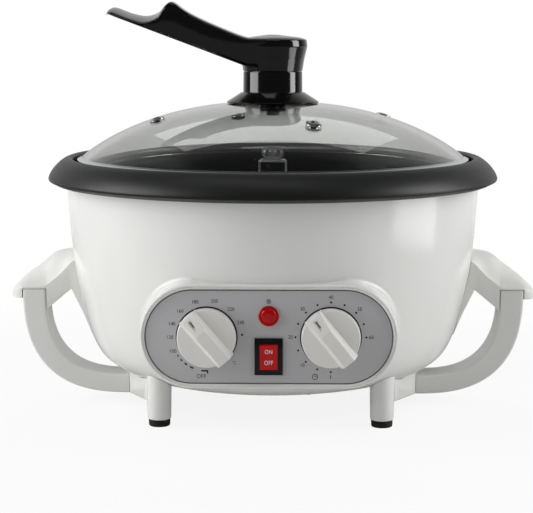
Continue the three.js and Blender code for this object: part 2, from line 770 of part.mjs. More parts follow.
// Places of the vents, with the tilt of the glass there
const vents = Array.from({ length: ventCount }, (unused, i) => {
  const [low, high] = [ventPitchRadius + ventHoleRadius, ventPitchRadius - ventHoleRadius];
  const slope = outerDomeZ(high) - outerDomeZ(low);
  const tilt = Math.atan2(slope, pairCount * ventHoleRadius);
  const [x, y] = onCircle(ventPitchRadius, ventFirstDeg + i * (360 / ventCount));
  const outward = new THREE.Vector3(x, y, 0).normalize();
  const up = outward.multiplyScalar(Math.sin(tilt)).setZ(Math.cos(tilt));
  const turn = new THREE.Quaternion().setFromUnitVectors(new THREE.Vector3(0, 0, 1), up);
  const place = new THREE.Vector3(x, y, outerDomeZ(ventPitchRadius));
  return new THREE.Matrix4().compose(place, turn, new THREE.Vector3(1, 1, 1));
});
const ventGlass = (outerDomeZ(ventPitchRadius) - innerDomeZ(ventPitchRadius));

// Geometry of a solid of revolution that stands on a vent's place
function ventPiece(points, matrix) {
  const outline = [...points, points[0]].map(([r, z]) => new THREE.Vector2(r, z));
  const geometry = new THREE.LatheGeometry(outline, rodFacets).rotateX(Math.PI / 2);
  return toSolid(geometry.applyMatrix4(matrix));
}

// Glass dome with its stem hole and vent holes
function makeLidGlass() {
  const share = (value) => Math.max(value, knobStemHoleRadius / glassRadius);
  const outer = domeStationShares.map((value) => share(value) * glassRadius);
  const inner = outer.map((r) => Math.max(r * (1 - glassThickness / glassRadius), knobStemHoleRadius));
  const dome = turned([
    ...outer.map((r) => [r, outerDomeZ(r)]), [glassRadius, glassBottomZ],
    [glassRadius - glassThickness, glassBottomZ],
    ...inner.map((r) => [r, innerDomeZ(r)]).reverse(),
  ]);
  const holes = vents.map((matrix) => {
    const length = ventGlass + pairCount * overrun;
    const hole = new THREE.CylinderGeometry(ventHoleRadius, ventHoleRadius, length, rodFacets);
    hole.rotateX(Math.PI / 2).translate(0, 0, -ventGlass / 2);
    return toSolid(hole.applyMatrix4(matrix));
  });
  return dome.subtract(joined(holes));
}

// Steel band that holds the edge of the glass
function makeRimBand() {
  const innerWall = glassRadius + gap;
  const outerWall = innerWall + bandThickness;
  const footRadius = innerWall - bandFootWidth;
  return turned([
    [footRadius, bandBottomZ], [outerWall, bandBottomZ], [outerWall, bandTopZ], [innerWall, bandTopZ],
    [innerWall, bandBottomZ + bandThickness], [footRadius, bandBottomZ + bandThickness],
  ]);
}

// Steel eyelet round one vent hole
function makeVentEyelet(matrix) {
  const sleeve = ventHoleRadius - gap;
  const below = -ventGlass - gap;
  return ventPiece([
    [ventBoreRadius, below - ventFlangeHeight], [ventFlangeRadius, below - ventFlangeHeight],
    [ventFlangeRadius, below], [sleeve, below], [sleeve, gap], [ventFlangeRadius, gap],
    [ventFlangeRadius, gap + ventFlangeHeight / 2], [sleeve, gap + ventFlangeHeight],
    [ventBoreRadius, gap + ventFlangeHeight],
  ], matrix);
}

const washerTopZ = glassTopZ + gap + washerThickness;

// Silicone washer between the glass and the knob
function makeKnobWasher() {
  const bore = knobStemHoleRadius;
  return turned([
    [bore, glassTopZ + gap], [washerRadius, glassTopZ + gap], [washerRadius, washerTopZ],
    [bore, washerTopZ],
  ], knobFacets);
}

// Knob foot: a cone on the glass with a stem through it, and a round neck on top
function makeKnobNeck() {
  const edgeZ = outerDomeZ(knobBaseRadius) + gap;
  const outline = turned([
    [0, knobStemEndZ], [knobStemRadius, knobStemEndZ], [knobStemRadius, washerTopZ + gap],
    [washerRadius + gap, washerTopZ + gap], [knobBaseRadius - gap, edgeZ + gap],
    [knobBaseRadius, edgeZ + pairCount * gap], [knobBaseTopRadius, knobBaseTopZ],
    [knobNeckRadius, knobBaseTopZ], [knobNeckRadius, knobNeckTopZ], [0, knobNeckTopZ],
  ], knobFacets);
  return outline.subtract(post(0, 0, knobStemEndZ - overrun, lidScrewTopZ + gap, lidScrewRadius + gap));
}

// Lever and hub in one piece, with a thumb saddle near the tip
function makeLeverHandle() {
  const hubBottomZ = knobNeckTopZ + gap;
  const flare = hubRadius - hubBottomRadius;
  const crown = hubCrownShares.map(([r, z]) => [hubRadius - flare * r, hubTopZ - flare * z]);
  const waist = [(hubBottomRadius + hubRadius) / 2, (hubBottomZ + hubWidestZ) / 2];
  const hub = turned([
    [0, hubBottomZ], [hubBottomRadius, hubBottomZ], waist, [hubRadius, hubWidestZ], ...crown,
    [0, hubTopZ],
  ], knobFacets);
  const top = new THREE.SplineCurve(leverTopShares.map(([x, z]) => (
    new THREE.Vector2(-leverReach * x, hubTopZ + leverRise * z)
  )));
  const side = alongY([
    [-leverRootReach, leverUndersideRootZ], [-leverUndersideRootReach, leverUndersideRootZ],
    [-leverUndersideTipReach, leverUndersideTipZ],
    ...top.getPoints(leverTopShares.length * pairCount).map((point) => [point.x, point.y]),
    [-leverRootReach, hubTopZ - flare / 2],
  ], -leverHalfWidth, leverHalfWidth);
  const edge = leverPlanShares.map(([x, y]) => [-leverReach * x, leverHalfWidth * y]);
  const mirrored = edge.map(([x, y]) => [x, -y]).reverse();
  const plan = raised([[0, leverHalfWidth], ...edge, ...mirrored, [0, -leverHalfWidth]],
    hubBottomZ, hubTopZ + leverRise + overrun);
  return hub.add(side.intersect(plan));
}

// Castellated nut under the glass, on the knob's stem
function makeKnobNut() {
  const topZ = innerDomeZ(0) - gap - bandThickness / 2;
  const bottomZ = topZ - lidNutThickness;
  const core = post(0, 0, bottomZ, topZ, lidNutCoreRadius, lidNutCoreRadius, knobFacets);
  const lobe = new THREE.BoxGeometry(lidNutRadius, lidNutLobeWidth, lidNutThickness);
  lobe.translate(lidNutRadius / 2, 0, (bottomZ + topZ) / 2);
  const lobes = Array.from({ length: lidNutLobes }, (unused, i) => (
    toSolid(lobe.clone().rotateZ((i / lidNutLobes) * Math.PI * pairCount))
  ));
  const bore = post(0, 0, bottomZ - overrun, topZ + overrun, knobStemRadius + gap);
  return joined([core, ...lobes]).subtract(bore);
}

// Centre screw of the lid knob
function makeKnobScrew() {
  const headTopZ = knobStemEndZ - gap;
  const head = post(0, 0, headTopZ - lidScrewHeadHeight, headTopZ, lidScrewHeadRadius);
  return head.add(post(0, 0, headTopZ, lidScrewTopZ, lidScrewRadius));
}

const bracketUndersideZ = bracketTopZ - bracketStrip;
const sleeveTopZ = bracketUndersideZ - gap;
const tabBottomZ = bracketTopZ + gap;
const tabCentreZ = tabBottomZ + tabHeight / 2;
const finTopZ = tabBottomZ + tabHeight;

// Vertical drive shaft from the gear motor to the stirrer
function makeDriveShaft() {
  return post(0, 0, motorTopZ - driveShaftInset, driveShaftTopZ, driveShaftRadius);
}

// Stirrer hub: a sleeve over the shaft with a fin on top
function makeStirrerHub() {
  const sleeve = post(0, 0, hubSleeveFootZ, sleeveTopZ, hubSleeveRadius);
  const half = hubFinThickness / 2;
  const fin = block([-hubFinWidth / 2, -half, sleeveTopZ - gap], [hubFinWidth / 2, half, finTopZ]);
  const bore = post(0, 0, hubSleeveFootZ - overrun, driveShaftTopZ + gap, driveShaftRadius + gap);
  return sleeve.add(fin).subtract(bore).subtract(tabScrewHoles());
}

// Holes for the two tab screws
function tabScrewHoles() {
  const reach = tabThickness + hubFinThickness + overrun;
  return joined([-1, 1].map((side) => (
    rodAlongY(side * (tabScrewSpacing / 2), tabCentreZ, -reach, reach, tabScrewRadius + gap)
  )));
}

// Steel bracket over the hub, an inverted U
function makeStirrerBracket() {
  const [halfX, halfY] = [bracketWidth / 2, bracketDepth / 2];
  const strap = block([-halfX, -halfY, bracketFootZ], [halfX, halfY, bracketTopZ]);
  const innerX = halfX - bracketStrip;
  const inside = block([-innerX, -halfY - overrun, bracketFootZ - overrun],
    [innerX, halfY + overrun, bracketUndersideZ]);
  const slotX = hubFinWidth / 2 + gap;
  const slotY = hubFinThickness / 2 + gap;
  const slot = block([-slotX, -slotY, sleeveTopZ], [slotX, slotY, finTopZ]);
  return strap.subtract(inside).subtract(slot)
    .subtract(rivetShanks(-1, gap)).subtract(rivetShanks(1, gap));
}

// Oval plate screwed to the hub's fin
function makeStirrerTab() {
  const back = -hubFinThickness / 2 - gap;
  const plate = alongY(stadium(tabWidth, tabHeight, tabCentreZ), back - tabThickness, back);
  return plate.subtract(tabScrewHoles());
}

// One screw of the oval plate
function makeTabScrew(side) {
  const seatY = -hubFinThickness / 2 - tabThickness - pairCount * gap;
  const x = side * (tabScrewSpacing / 2);
  const head = rodAlongY(x, tabCentreZ, seatY - tabScrewHeadHeight, seatY, tabScrewHeadRadius);
  return head.add(rodAlongY(x, tabCentreZ, seatY, hubFinThickness / 2, tabScrewRadius));
}

const bladeRootX = bracketWidth / 2 + gap;
const bladeFloorZ = panFloorZ + bladeFloorClearance;
const earTopZ = bladeFloorZ + bladeHeight;
const rivetZs = [-1, 1].map((side) => earTopZ - bladeEarHeight / 2 + side * (rivetSpacing / 2));

// Rivet shanks through the bracket's legs
function rivetShanks(side, grow) {
  const startX = bracketWidth / 2 - bracketStrip - pairCount * gap;
  return joined(rivetZs.map((z) => (
    rodAlongX(0, z, side * startX, side * (bladeRootX + gap), rivetRadius + grow)
  )));
}

// Stirrer blade on one side: a paddle near the pan's floor and an ear riveted to the bracket
function makeBlade(side) {
  const reach = bladeReach - bladeRootX;
  const outline = bladeOutlineShares.map(([x, z]) => (
    [side * (bladeRootX + reach * x), bladeFloorZ + bladeHeight * z]
  ));
  const paddle = alongY(outline, -bladeThickness / 2, bladeThickness / 2);
  const ends = [side * bladeRootX, side * (bladeRootX + bladeThickness)].sort((a, b) => a - b);
  const half = bladeEarWidth / 2;
  const ear = block([ends[0], -half, earTopZ - bladeEarHeight], [ends[1], half, earTopZ]);
  const headX = bracketWidth / 2 - bracketStrip - gap;
  const heads = rivetZs.map((z) => (
    rodAlongX(0, z, side * (headX - rivetHeadHeight), side * headX, rivetHeadRadius)
  ));
  return joined([paddle, ear, rivetShanks(side, 0), ...heads]);
}

const motorPlateTopZ = shieldZ - motorPlateDrop;
const motorPlateZ = motorPlateTopZ - motorPlateThickness;
const motorTopZ = motorPlateZ - gap;

// Knob seen along its axis: a disc, a tapering grip with a ramp to its pointer, and a shaft socket
function makeKnob() {
  const disc = post(0, 0, 0, knobDiscDepth, knobRadius, knobRadius, knobFacets);
  const topZ = knobDiscDepth + knobGripDepth;
  const [base, crest] = [knobGripBaseWidth / 2, knobGripTopWidth / 2];
  const bar = alongY([
    [-base, 0], [base, 0], [base, knobDiscDepth], [crest, topZ], [-crest, topZ], [-base, knobDiscDepth],
  ], -knobRadius, knobRadius);
  const groovedZ = knobDiscDepth + knobGripDepth * knobPointerRiseShare - knobPointerDepth;
  const rampStart = knobRadius * (1 - knobGripRampShare);
  const side = alongX([
    [-knobRadius, 0], [knobRadius, 0], [knobRadius, knobDiscDepth + knobGripDepth / 2],
    [rampStart, topZ], [-knobRadius, topZ],
  ], -knobRadius, knobRadius);
  const round = post(0, 0, 0, topZ, knobRadius, knobRadius, knobFacets);
  const pointerHalf = knobPointerWidth / 2;
  const pointer = alongX([
    [knobRadius - knobPointerLength, topZ + overrun],
    [knobRadius - knobPointerLength, groovedZ],
    [knobRadius + overrun, knobDiscDepth + knobGripDepth / 2 - knobPointerDepth],
    [knobRadius + overrun, topZ + overrun],
  ], -pointerHalf, pointerHalf);
  const socket = post(0, 0, -overrun, shaftSocketDepth, controlShaftRadius + gap);
  return disc.add(bar.intersect(side).intersect(round)).subtract(pointer).subtract(socket);
}

const knobBackY = panelFrontY - knobLift;

// Shaft of one control, from the knob's socket into the control's body
function makeControlShaft(x) {
  const startY = knobBackY - shaftSocketDepth + gap;
  return rodAlongY(x, panelCentreZ, startY, wallBackY + gap + controlShaftInset, controlShaftRadius);
}

// Round control body behind the front wall, with a nose through the panel and two terminals
function makeControlBody(x, radius, depth) {
  const frontY = wallBackY + gap;
  const body = rodAlongY(x, panelCentreZ, frontY, frontY + depth, radius, knobFacets);
  const nose = rodAlongY(x, panelCentreZ, panelFrontY - gap, frontY + gap, shaftHoleRadius - gap);
  const bore = rodAlongY(x, panelCentreZ, panelFrontY - overrun, frontY + controlShaftInset + gap,
    controlShaftRadius + gap);
  const terminals = [-1, 1].map((side) => block(
    [x + side * (radius / 2) - terminalTabWidth / 2, frontY + depth - gap, panelCentreZ],
    [x + side * (radius / 2) + terminalTabWidth / 2, frontY + depth + terminalTabLength,
      panelCentreZ + terminalTabThickness],
  ));
  return joined([body, nose, ...terminals]).subtract(bore);
}

// Indicator lamp seen along its axis: barrel, flange and domed lens
function makeIndicatorLamp() {
  const dome = [];
  for (let i = 0; i <= curveSteps / 2; i += 1) {
    const angle = (i / (curveSteps / 2)) * (Math.PI / 2);
    const height = gap + knobLift + lampDomeHeight * Math.sin(angle);
    dome.push([lampRadius * Math.cos(angle) * (i < curveSteps / 2), height]);
  }
  return turned([
    [0, -lampDepth], [lampBarrelRadius, -lampDepth], [lampBarrelRadius, gap], [lampRadius, gap], ...dome,
  ], knobFacets);
}

const rockerCornerRadius = Math.hypot(rockerHeight / 2,
  bezelProud + (rockerHeight / 2) * Math.tan(radians(rockerTiltDeg)));
const rockerPivotY = panelFrontY - gap;

// Switch frame: bezel on the panel and an open box behind it
function makeRockerFrame() {
  const halfWindow = rockerCornerRadius + gap;
  const bezelBackY = panelFrontY - gap;
  const bezel = block([-bezelWidth / 2, bezelBackY - bezelProud, rockerZ - bezelHeight / 2],
    [bezelWidth / 2, bezelBackY, rockerZ + bezelHeight / 2]);
  const box = block([-switchBodyWidth / 2, bezelBackY - gap, rockerZ - switchBodyHeight / 2],
    [switchBodyWidth / 2, panelFrontY + switchBodyDepth, rockerZ + switchBodyHeight / 2]);
  const window = block([-rockerWidth / 2 - gap, bezelBackY - bezelProud - overrun, rockerZ - halfWindow],
    [rockerWidth / 2 + gap, panelFrontY + switchBodyDepth - switchWall, rockerZ + halfWindow]);
  const pinReach = rockerWidth / 2 + rockerPinLength + gap;
  const pins = rodAlongX(rockerPivotY, rockerZ, -pinReach, pinReach, rockerPinRadius + gap);
  return bezel.add(box).subtract(window).subtract(pins);
}

// Rocker seen along its pivot: a shallow V face, a keel and two pivot pins
function makeRocker() {
  const half = rockerHeight / 2;
  const keel = half * rockerKeelShare;
  const tipProud = bezelProud + half * Math.tan(radians(rockerTiltDeg));
  const body = alongX([
    [-tipProud, -half], [-bezelProud, 0], [-tipProud, half], [bezelProud, half],
    [rockerDepth, keel], [rockerDepth, -keel], [bezelProud, -half],
  ], -rockerWidth / 2, rockerWidth / 2);
  const pinReach = rockerWidth / 2 + rockerPinLength;
  return body.add(rodAlongX(0, 0, -pinReach, pinReach, rockerPinRadius));
}

// Tapered leg, cut to the bowl's curve, with a recess for its screw
function makeLeg(x, y) {
  const leg = post(x, y, legBottomZ, legScrewTopZ, legBottomRadius, legTopRadius);
  const recess = post(x, y, legBottomZ - overrun, legBottomZ + legRecessDepth, legRecessRadius);
  const hole = post(x, y, legBottomZ, legScrewTopZ + overrun, legScrewRadius + gap);
  return leg.subtract(filledBowl(gap, bowlRimZ)).subtract(recess).subtract(hole);
}

// Rubber foot bonded to a stud that holds its leg to the housing
function makeFoot(x, y) {
  const plugTopZ = legBottomZ + legRecessDepth - gap;
  return joined([
    post(x, y, 0, footHeight, footRadius, footRadius),
    post(x, y, footHeight - gap, plugTopZ, legRecessRadius - gap),
    post(x, y, plugTopZ - gap, legScrewTopZ, legScrewRadius),
  ]);
}

// Curved grip of one handle
function makeHandleGrip(sign) {
  const steps = curveSteps * pairCount;
  const outer = superQuarter(gripRootX, 0, gripOuterReach, -gripOuterDrop, gripOuterExponent, steps);
  const inner = superQuarter(gripRootX, 0, gripInnerReach, -gripInnerDrop, gripInnerExponent, steps);
  const outline = [...outer, ...inner.reverse()].map(([x, z]) => [sign * x, gripTopZ + z]);
  return alongY(outline, -handleHalfDepth, handleHalfDepth);
}

// Crowned bar with a ridge and two lower edges, lofted along the thumb plate's stations
function thumbCrown(sign) {
  const overGrip = gripTopZ + gap;
  const rise = thumbRidgeZ - overGrip;
  const floorZ = armRibFootZ - overrun;
  const sections = thumbTopShares.map(([reach, ridge, edge]) => {
    const x = sign * (thumbRootX + reach * (thumbTipX - thumbRootX));
    const crown = [];
    for (let i = -thumbCrownSteps; i <= thumbCrownSteps; i += 1) {
      const share = i / thumbCrownSteps;
      const fall = 1 - Math.abs(share) ** thumbCrownExponent;
      crown.push([x, share * handleHalfDepth, overGrip + rise * (edge + (ridge - edge) * fall)]);
    }
    return [[x, -handleHalfDepth, floorZ], ...crown, [x, handleHalfDepth, floorZ]];
  });
  return lofted(sections);
}

// Solid through a row of closed sections with equal point counts
function lofted(sections) {
  const count = sections[0].length;
  const positions = sections.flat(pairCount);
  const indices = [];
  sections.slice(1).forEach((unused, s) => {
    for (let i = 0; i < count; i += 1) {
      const [a, b] = [s * count + i, s * count + ((i + 1) % count)];
      indices.push(a, b, b + count, a, b + count, a + count);
    }
  });
  const last = (sections.length - 1) * count;
  for (let i = 1; i < count - 1; i += 1) {
    indices.push(0, i + 1, i, last, last + i, last + i + 1);
  }
  const geometry = new THREE.BufferGeometry();
  geometry.setAttribute('position', new THREE.Float32BufferAttribute(positions, 3));
  geometry.setIndex(indices);
  return toSolid(geometry);
}

// Thumb plate and upper arm of one handle
function makeHandleTop(sign) {
  const innerX = gripRootX + gripInnerReach - pairCount * gap;
  const outerX = gripRootX + gripOuterReach + gap;
  const side = alongY([
    [thumbRootX, armRibFootZ], [armRibFootX, armRibFootZ],
    [armRibMiddleX, armRibMiddleZ], [armUndersideRootX, armUndersideRootZ], [innerX, armUndersideTipZ],
    [innerX, gripTopZ + gap], [outerX, gripTopZ + gap], [outerX, thumbLipZ], [thumbTipX, thumbLipZ],
    [thumbTipX, thumbRidgeZ], [thumbRootX, thumbRidgeZ],
  ].map(([x, z]) => [sign * x, z]), -handleHalfDepth, handleHalfDepth);
  const corner = superQuarter(thumbTipX - thumbTipRadius, handleHalfDepth - thumbTipRadius,
    thumbTipRadius, thumbTipRadius, 2, curveSteps / 2);
  const edge = [[thumbRootX, -handleHalfDepth], ...corner.map(([x, y]) => [x, -y]).reverse(),
    ...corner, [thumbRootX, handleHalfDepth]].map(([x, y]) => [sign * x, y]);
  const plan = raised(edge, armRibFootZ - overrun, thumbRidgeZ + overrun);
  const heads = [-handlePegY, handlePegY].map((y) => (
    rodAlongX(y, handlePegZ, sign * (pegSeatX - handlePegHeadHeight), sign * pegSeatX, handlePegHeadRadius)
  ));
  const arm = thumbCrown(sign).intersect(side).intersect(plan).subtract(filledBowl(gap, bowlRimZ));
  return joined([arm, handlePegs(sign, 0), ...heads]);
}

const sideBracketTopZ = bowlFloorZ - gap;

// Bracket from one handle's lower end to the floor and two legs
function makeSideBracket(sign) {
  const half = [
    [gripRootX - gap, handleHalfDepth], [sideBracketArmOuterX, sideBracketArmOuterY],
    [sideBracketArmInnerX, sideBracketArmInnerY], [sideBracketInnerX, sideBracketInnerY],
  ];
  const outline = [...half, ...half.map(([x, y]) => [x, -y]).reverse()].map(([x, y]) => [sign * x, y]);
  const plan = raised(outline, sideBracketBottomZ, sideBracketTopZ);
  const armEnd = sideBracketArmOuterY + overrun;
  const rise = alongX([
    [-armEnd, sideBracketLegBottomZ], [-handleHalfDepth, sideBracketBottomZ],
    [handleHalfDepth, sideBracketBottomZ], [armEnd, sideBracketLegBottomZ],
    [armEnd, sideBracketTopZ], [-armEnd, sideBracketTopZ],
  ], Math.min(sign * gripRootX, 0), Math.max(sign * gripRootX, 0));
  const legs = legPlaces.map(([x, y]) => post(x, y, 0, bowlFloorZ, legTopRadius + gap));
  const holes = bracketScrewPlaces.map(([x, y]) => joined([
    post(x, y, 0, bowlFloorZ, bracketScrewRadius + gap),
    post(x, y, 0, bracketScrewSeatZ, bracketScrewHeadRadius + gap),
  ]));
  return plan.intersect(rise).subtract(joined([...legs, ...holes]));
}

// Base cover with a row of vent slots
function makeBaseCover() {
  const disc = post(0, 0, coverBottomZ, coverTopZ, coverRadius, coverRadius, bowlFacets);
  const slots = Array.from({ length: coverVentCount }, (unused, i) => {
    const y = (i - (coverVentCount - 1) / 2) * coverVentPitch;
    return block([-coverVentLength / 2, y - coverVentWidth / 2, coverBottomZ - overrun],
      [coverVentLength / 2, y + coverVentWidth / 2, coverTopZ + overrun]);
  });
  const holes = coverScrewPlaces.map(([x, y]) => (
    post(x, y, coverBottomZ - overrun, coverTopZ + overrun, coverScrewRadius + gap)
  ));
  return disc.subtract(joined([...slots, ...holes]));
}

// One screw of the base cover
function makeBaseScrew(x, y) {
  const seatZ = coverBottomZ - gap;
  return post(x, y, seatZ - coverScrewHeadHeight, seatZ, coverScrewHeadRadius)
    .add(post(x, y, seatZ, coverScrewTopZ, coverScrewRadius));
}

const elementZ = panFloorZ - panWall - gap - elementRodRadius;
const elementEndsDeg = [-90 + elementGapDeg / 2, 270 - elementGapDeg / 2];

// Arc round the vertical axis
class LevelArc extends THREE.Curve {
  getPoint(t) {
    const deg = THREE.MathUtils.lerp(elementEndsDeg[0], elementEndsDeg[1], t);
    return new THREE.Vector3(...onCircle(elementRadius, deg), elementZ);
  }
}

// Tubular heating element under the pan's floor, with its ends turned down
function makeHeatingElement() {
  const section = new THREE.Shape();
  section.absarc(0, 0, elementRodRadius, 0, Math.PI * pairCount, false);
  const ring = toSolid(new THREE.ExtrudeGeometry(section, {
    steps: elementSteps, extrudePath: new LevelArc(), curveSegments: curveSteps / 2, bevelEnabled: false,
  }));
  const ends = elementEndsDeg.map((deg) => (
    post(...onCircle(elementRadius, deg), elementZ - elementLegDrop, elementZ, elementRodRadius)
  ));
  return joined([ring, ...ends]);
}

// Dished heat shield with welded element clips on top and three welded legs below
function makeHeatShield() {
  const dish = turned([
    [shieldHoleRadius, shieldZ], [shieldRadius, shieldZ], [shieldRadius, shieldRimZ],
    [shieldRadius - shieldThickness, shieldRimZ], [shieldRadius - shieldThickness, shieldFloorZ],
    [shieldHoleRadius, shieldFloorZ],
  ]);
  const holes = elementEndsDeg.map((deg) => (
    post(...onCircle(elementRadius, deg), shieldZ - overrun, shieldFloorZ + overrun,
      elementRodRadius + knobLift)
  ));
  const clipTopZ = elementZ - elementRodRadius - gap;
  const clips = clipTurnsDeg.map((deg) => {
    const clip = new THREE.BoxGeometry(clipWidth, clipWidth, clipTopZ - shieldZ);
    clip.translate(elementRadius, 0, (clipTopZ + shieldZ) / 2).rotateZ(radians(deg));
    return toSolid(clip);
  });
  const legs = standoffPlaces.map(([x, y]) => joined([
    post(x, y, coverTopZ + gap, motorPlateZ - gap, standoffRadius),
    post(x, y, motorPlateZ - pairCount * gap, shieldFloorZ, standoffNeckRadius),
  ]));
  return joined([dish.subtract(joined(holes)), ...clips, ...legs]);
}

// Plate that carries the gear motor on the standoffs
function makeMotorPlate() {
  const plate = post(0, 0, motorPlateZ, motorPlateTopZ, motorPlateRadius, motorPlateRadius, knobFacets);
  const holes = standoffPlaces.map(([x, y]) => (
    post(x, y, motorPlateZ - overrun, motorPlateTopZ + overrun, standoffNeckRadius + gap)
  ));
  const nose = post(0, 0, motorPlateZ - overrun, motorPlateTopZ + overrun, motorNoseRadius + gap);
  return plate.subtract(joined([...holes, nose, motorStuds(gap)]));
}

// Studs of the motor through its plate
function motorStuds(grow) {
  return joined([-1, 1].map((side) => (
    post(side * motorStudPitchRadius, 0, motorTopZ - gap, motorPlateTopZ + motorStudProud,
      motorStudRadius + grow)
  )));
}

// Gear motor with a nose round the drive shaft and two studs
function makeGearMotor() {
  const can = post(0, 0, motorTopZ - motorHeight, motorTopZ, motorRadius, motorRadius, knobFacets);
  const nose = post(0, 0, motorTopZ - gap, motorTopZ + motorNoseHeight, motorNoseRadius);
  const bore = post(0, 0, motorTopZ - driveShaftInset - gap, motorTopZ + motorNoseHeight + overrun,
    driveShaftRadius + gap);
  return joined([can, nose, motorStuds(0)]).subtract(bore);
}

// Bush at the top of the pan's column
function makeShaftBushing() {
  const bush = post(0, 0, columnTopZ - bushLength, columnTopZ, columnBoreRadius - gap);
  return bush.subtract(post(0, 0, columnTopZ - bushLength - overrun, columnTopZ + overrun,
    driveShaftRadius + gap));
}

// Safety cut-out that hangs under the shield
function makeThermalCutout() {
  const topZ = shieldZ - gap;
  return post(cutoutPlaceX, 0, topZ - cutoutHeight, topZ, cutoutRadius, cutoutRadius, rodFacets);
}

// Mains terminal block on the base cover
function makeTerminalBlock() {
  const bottomZ = coverTopZ + gap;
  return block([-terminalWidth / 2, terminalPlaceY - terminalDepth / 2, bottomZ],
    [terminalWidth / 2, terminalPlaceY + terminalDepth / 2, bottomZ + terminalHeight]);
}

// Open gland in the rear wall, where a mains cord would enter
function makeCordGland() {
  const wallY = bowlRadiusAt(glandZ);
  const outerY = wallY + glandProud;
  const flange = rodAlongY(0, glandZ, wallY - glandInset, outerY, glandFlangeRadius)
    .subtract(filledBowl(gap, bowlRimZ));
  const sleeve = rodAlongY(0, glandZ, wallY - glandInset, outerY, glandRadius);
  const bore = rodAlongY(0, glandZ, wallY - glandInset - overrun, outerY + overrun, glandBoreRadius);
  return flange.add(sleeve).subtract(bore);
}

const shell = addAssembly('shell_assembly', 0, 0, bowlFloorZ);
addPiece(shell, 'housing', 'whiteShell', makeHousing());
addPiece(shell, 'rim_ring', 'blackTrim', makeRimRing());
addPiece(shell, 'roasting_pan', 'nonStick', makeRoastingPan());
addPiece(shell, 'pan_column', 'nonStick', makePanColumn());
addPiece(shell, 'base_cover', 'darkSteel', makeBaseCover());
coverScrewPlaces.forEach(([x, y], i) => {
  addPiece(shell, `base_screw_${i + 1}`, 'steel', makeBaseScrew(x, y));
});
addPiece(shell, 'cord_gland', 'rubber', makeCordGland());

const lid = addAssembly('lid_assembly', 0, 0, glassShoulderZ);
addPiece(lid, 'lid_glass', 'glass', makeLidGlass());
addPiece(lid, 'lid_rim_band', 'steel', makeRimBand());
vents.forEach((matrix, i) => {
  addPiece(lid, `lid_vent_eyelet_${i + 1}`, 'steel', makeVentEyelet(matrix));
});
addPiece(lid, 'lid_knob_washer', 'rubber', makeKnobWasher());
addPiece(lid, 'lid_knob_neck', 'blackGloss', makeKnobNeck());
addPiece(lid, 'lid_lever_handle', 'blackGloss', makeLeverHandle());
addPiece(lid, 'lid_knob_nut', 'blackTrim', makeKnobNut());
addPiece(lid, 'lid_knob_screw', 'steel', makeKnobScrew());

const stirrer = addAssembly('stirrer_assembly', 0, 0, panFloorZ);
addPiece(stirrer, 'drive_shaft', 'steel', makeDriveShaft());
addPiece(stirrer, 'stirrer_hub', 'blackTrim', makeStirrerHub());
addPiece(stirrer, 'stirrer_bracket', 'steel', makeStirrerBracket());
addPiece(stirrer, 'stirrer_tab', 'steel', makeStirrerTab());
addPiece(stirrer, 'tab_screw_left', 'steel', makeTabScrew(-1));
addPiece(stirrer, 'tab_screw_right', 'steel', makeTabScrew(1));
addPiece(stirrer, 'stirrer_blade_a', 'steel', makeBlade(1));
addPiece(stirrer, 'stirrer_blade_b', 'steel', makeBlade(-1));

const panel = addAssembly('panel_assembly', 0, panelFrontY, panelCentreZ);
const controls = [
  { name: 'temperature', body: 'thermostat_body', x: -controlX, deg: temperatureKnobDeg,
    radius: thermostatRadius, depth: thermostatDepth },
  { name: 'timer', body: 'timer_body', x: controlX, deg: timerKnobDeg,
    radius: timerRadius, depth: timerDepth },
];
addPiece(panel, 'control_panel', 'silverPanel', makeControlPanel());
controls.forEach(({ name, body, x, deg, radius, depth }) => {
  addPlacedPiece(panel, `${name}_knob`, 'ivory', makeKnob(),
    new THREE.Vector3(x, knobBackY, panelCentreZ), turnedToFront(deg));
  addPiece(panel, `${name}_shaft`, 'steel', makeControlShaft(x));
  addPiece(panel, body, 'darkSteel', makeControlBody(x, radius, depth));
});
addPlacedPiece(panel, 'indicator_lamp', 'red', makeIndicatorLamp(),
  new THREE.Vector3(0, panelFrontY, lampZ), turnedToFront(0));
addPiece(panel, 'rocker_frame', 'blackTrim', makeRockerFrame());
addPlacedPiece(panel, 'rocker_button', 'red', makeRocker(),
  new THREE.Vector3(0, rockerPivotY, rockerZ),
  new THREE.Quaternion().setFromAxisAngle(new THREE.Vector3(1, 0, 0), radians(rockerTiltDeg)));

const legNames = ['front_left', 'front_right', 'rear_left', 'rear_right'];
legPlaces.forEach(([x, y], i) => {
  const leg = addAssembly(`leg_assembly_${legNames[i]}`, x, y, 0);
  addPiece(leg, `leg_${legNames[i]}`, 'whiteShell', makeLeg(x, y));
  addPiece(leg, `foot_${legNames[i]}`, 'rubber', makeFoot(x, y));
});

handleSides.forEach(({ name, sign }) => {
  const handle = addAssembly(`handle_assembly_${name}`, sign * gripRootX, 0, bowlFloorZ);
  addPiece(handle, `handle_${name}_grip`, 'greyGrip', makeHandleGrip(sign));
  addPiece(handle, `handle_${name}_top`, 'whiteShell', makeHandleTop(sign));
  addPiece(handle, `handle_${name}_bracket`, 'whiteShell', makeSideBracket(sign));
});

const drive = addAssembly('drive_assembly', 0, 0, shieldZ);
addPiece(drive, 'heating_element', 'darkSteel', makeHeatingElement());
addPiece(drive, 'heat_shield', 'steel', makeHeatShield());
addPiece(drive, 'motor_plate', 'darkSteel', makeMotorPlate());
addPiece(drive, 'gear_motor', 'darkSteel', makeGearMotor());
addPiece(drive, 'shaft_bushing', 'brass', makeShaftBushing());
addPiece(drive, 'thermal_cutout', 'blackTrim', makeThermalCutout());
addPiece(drive, 'terminal_block', 'ivory', makeTerminalBlock());

export default group;
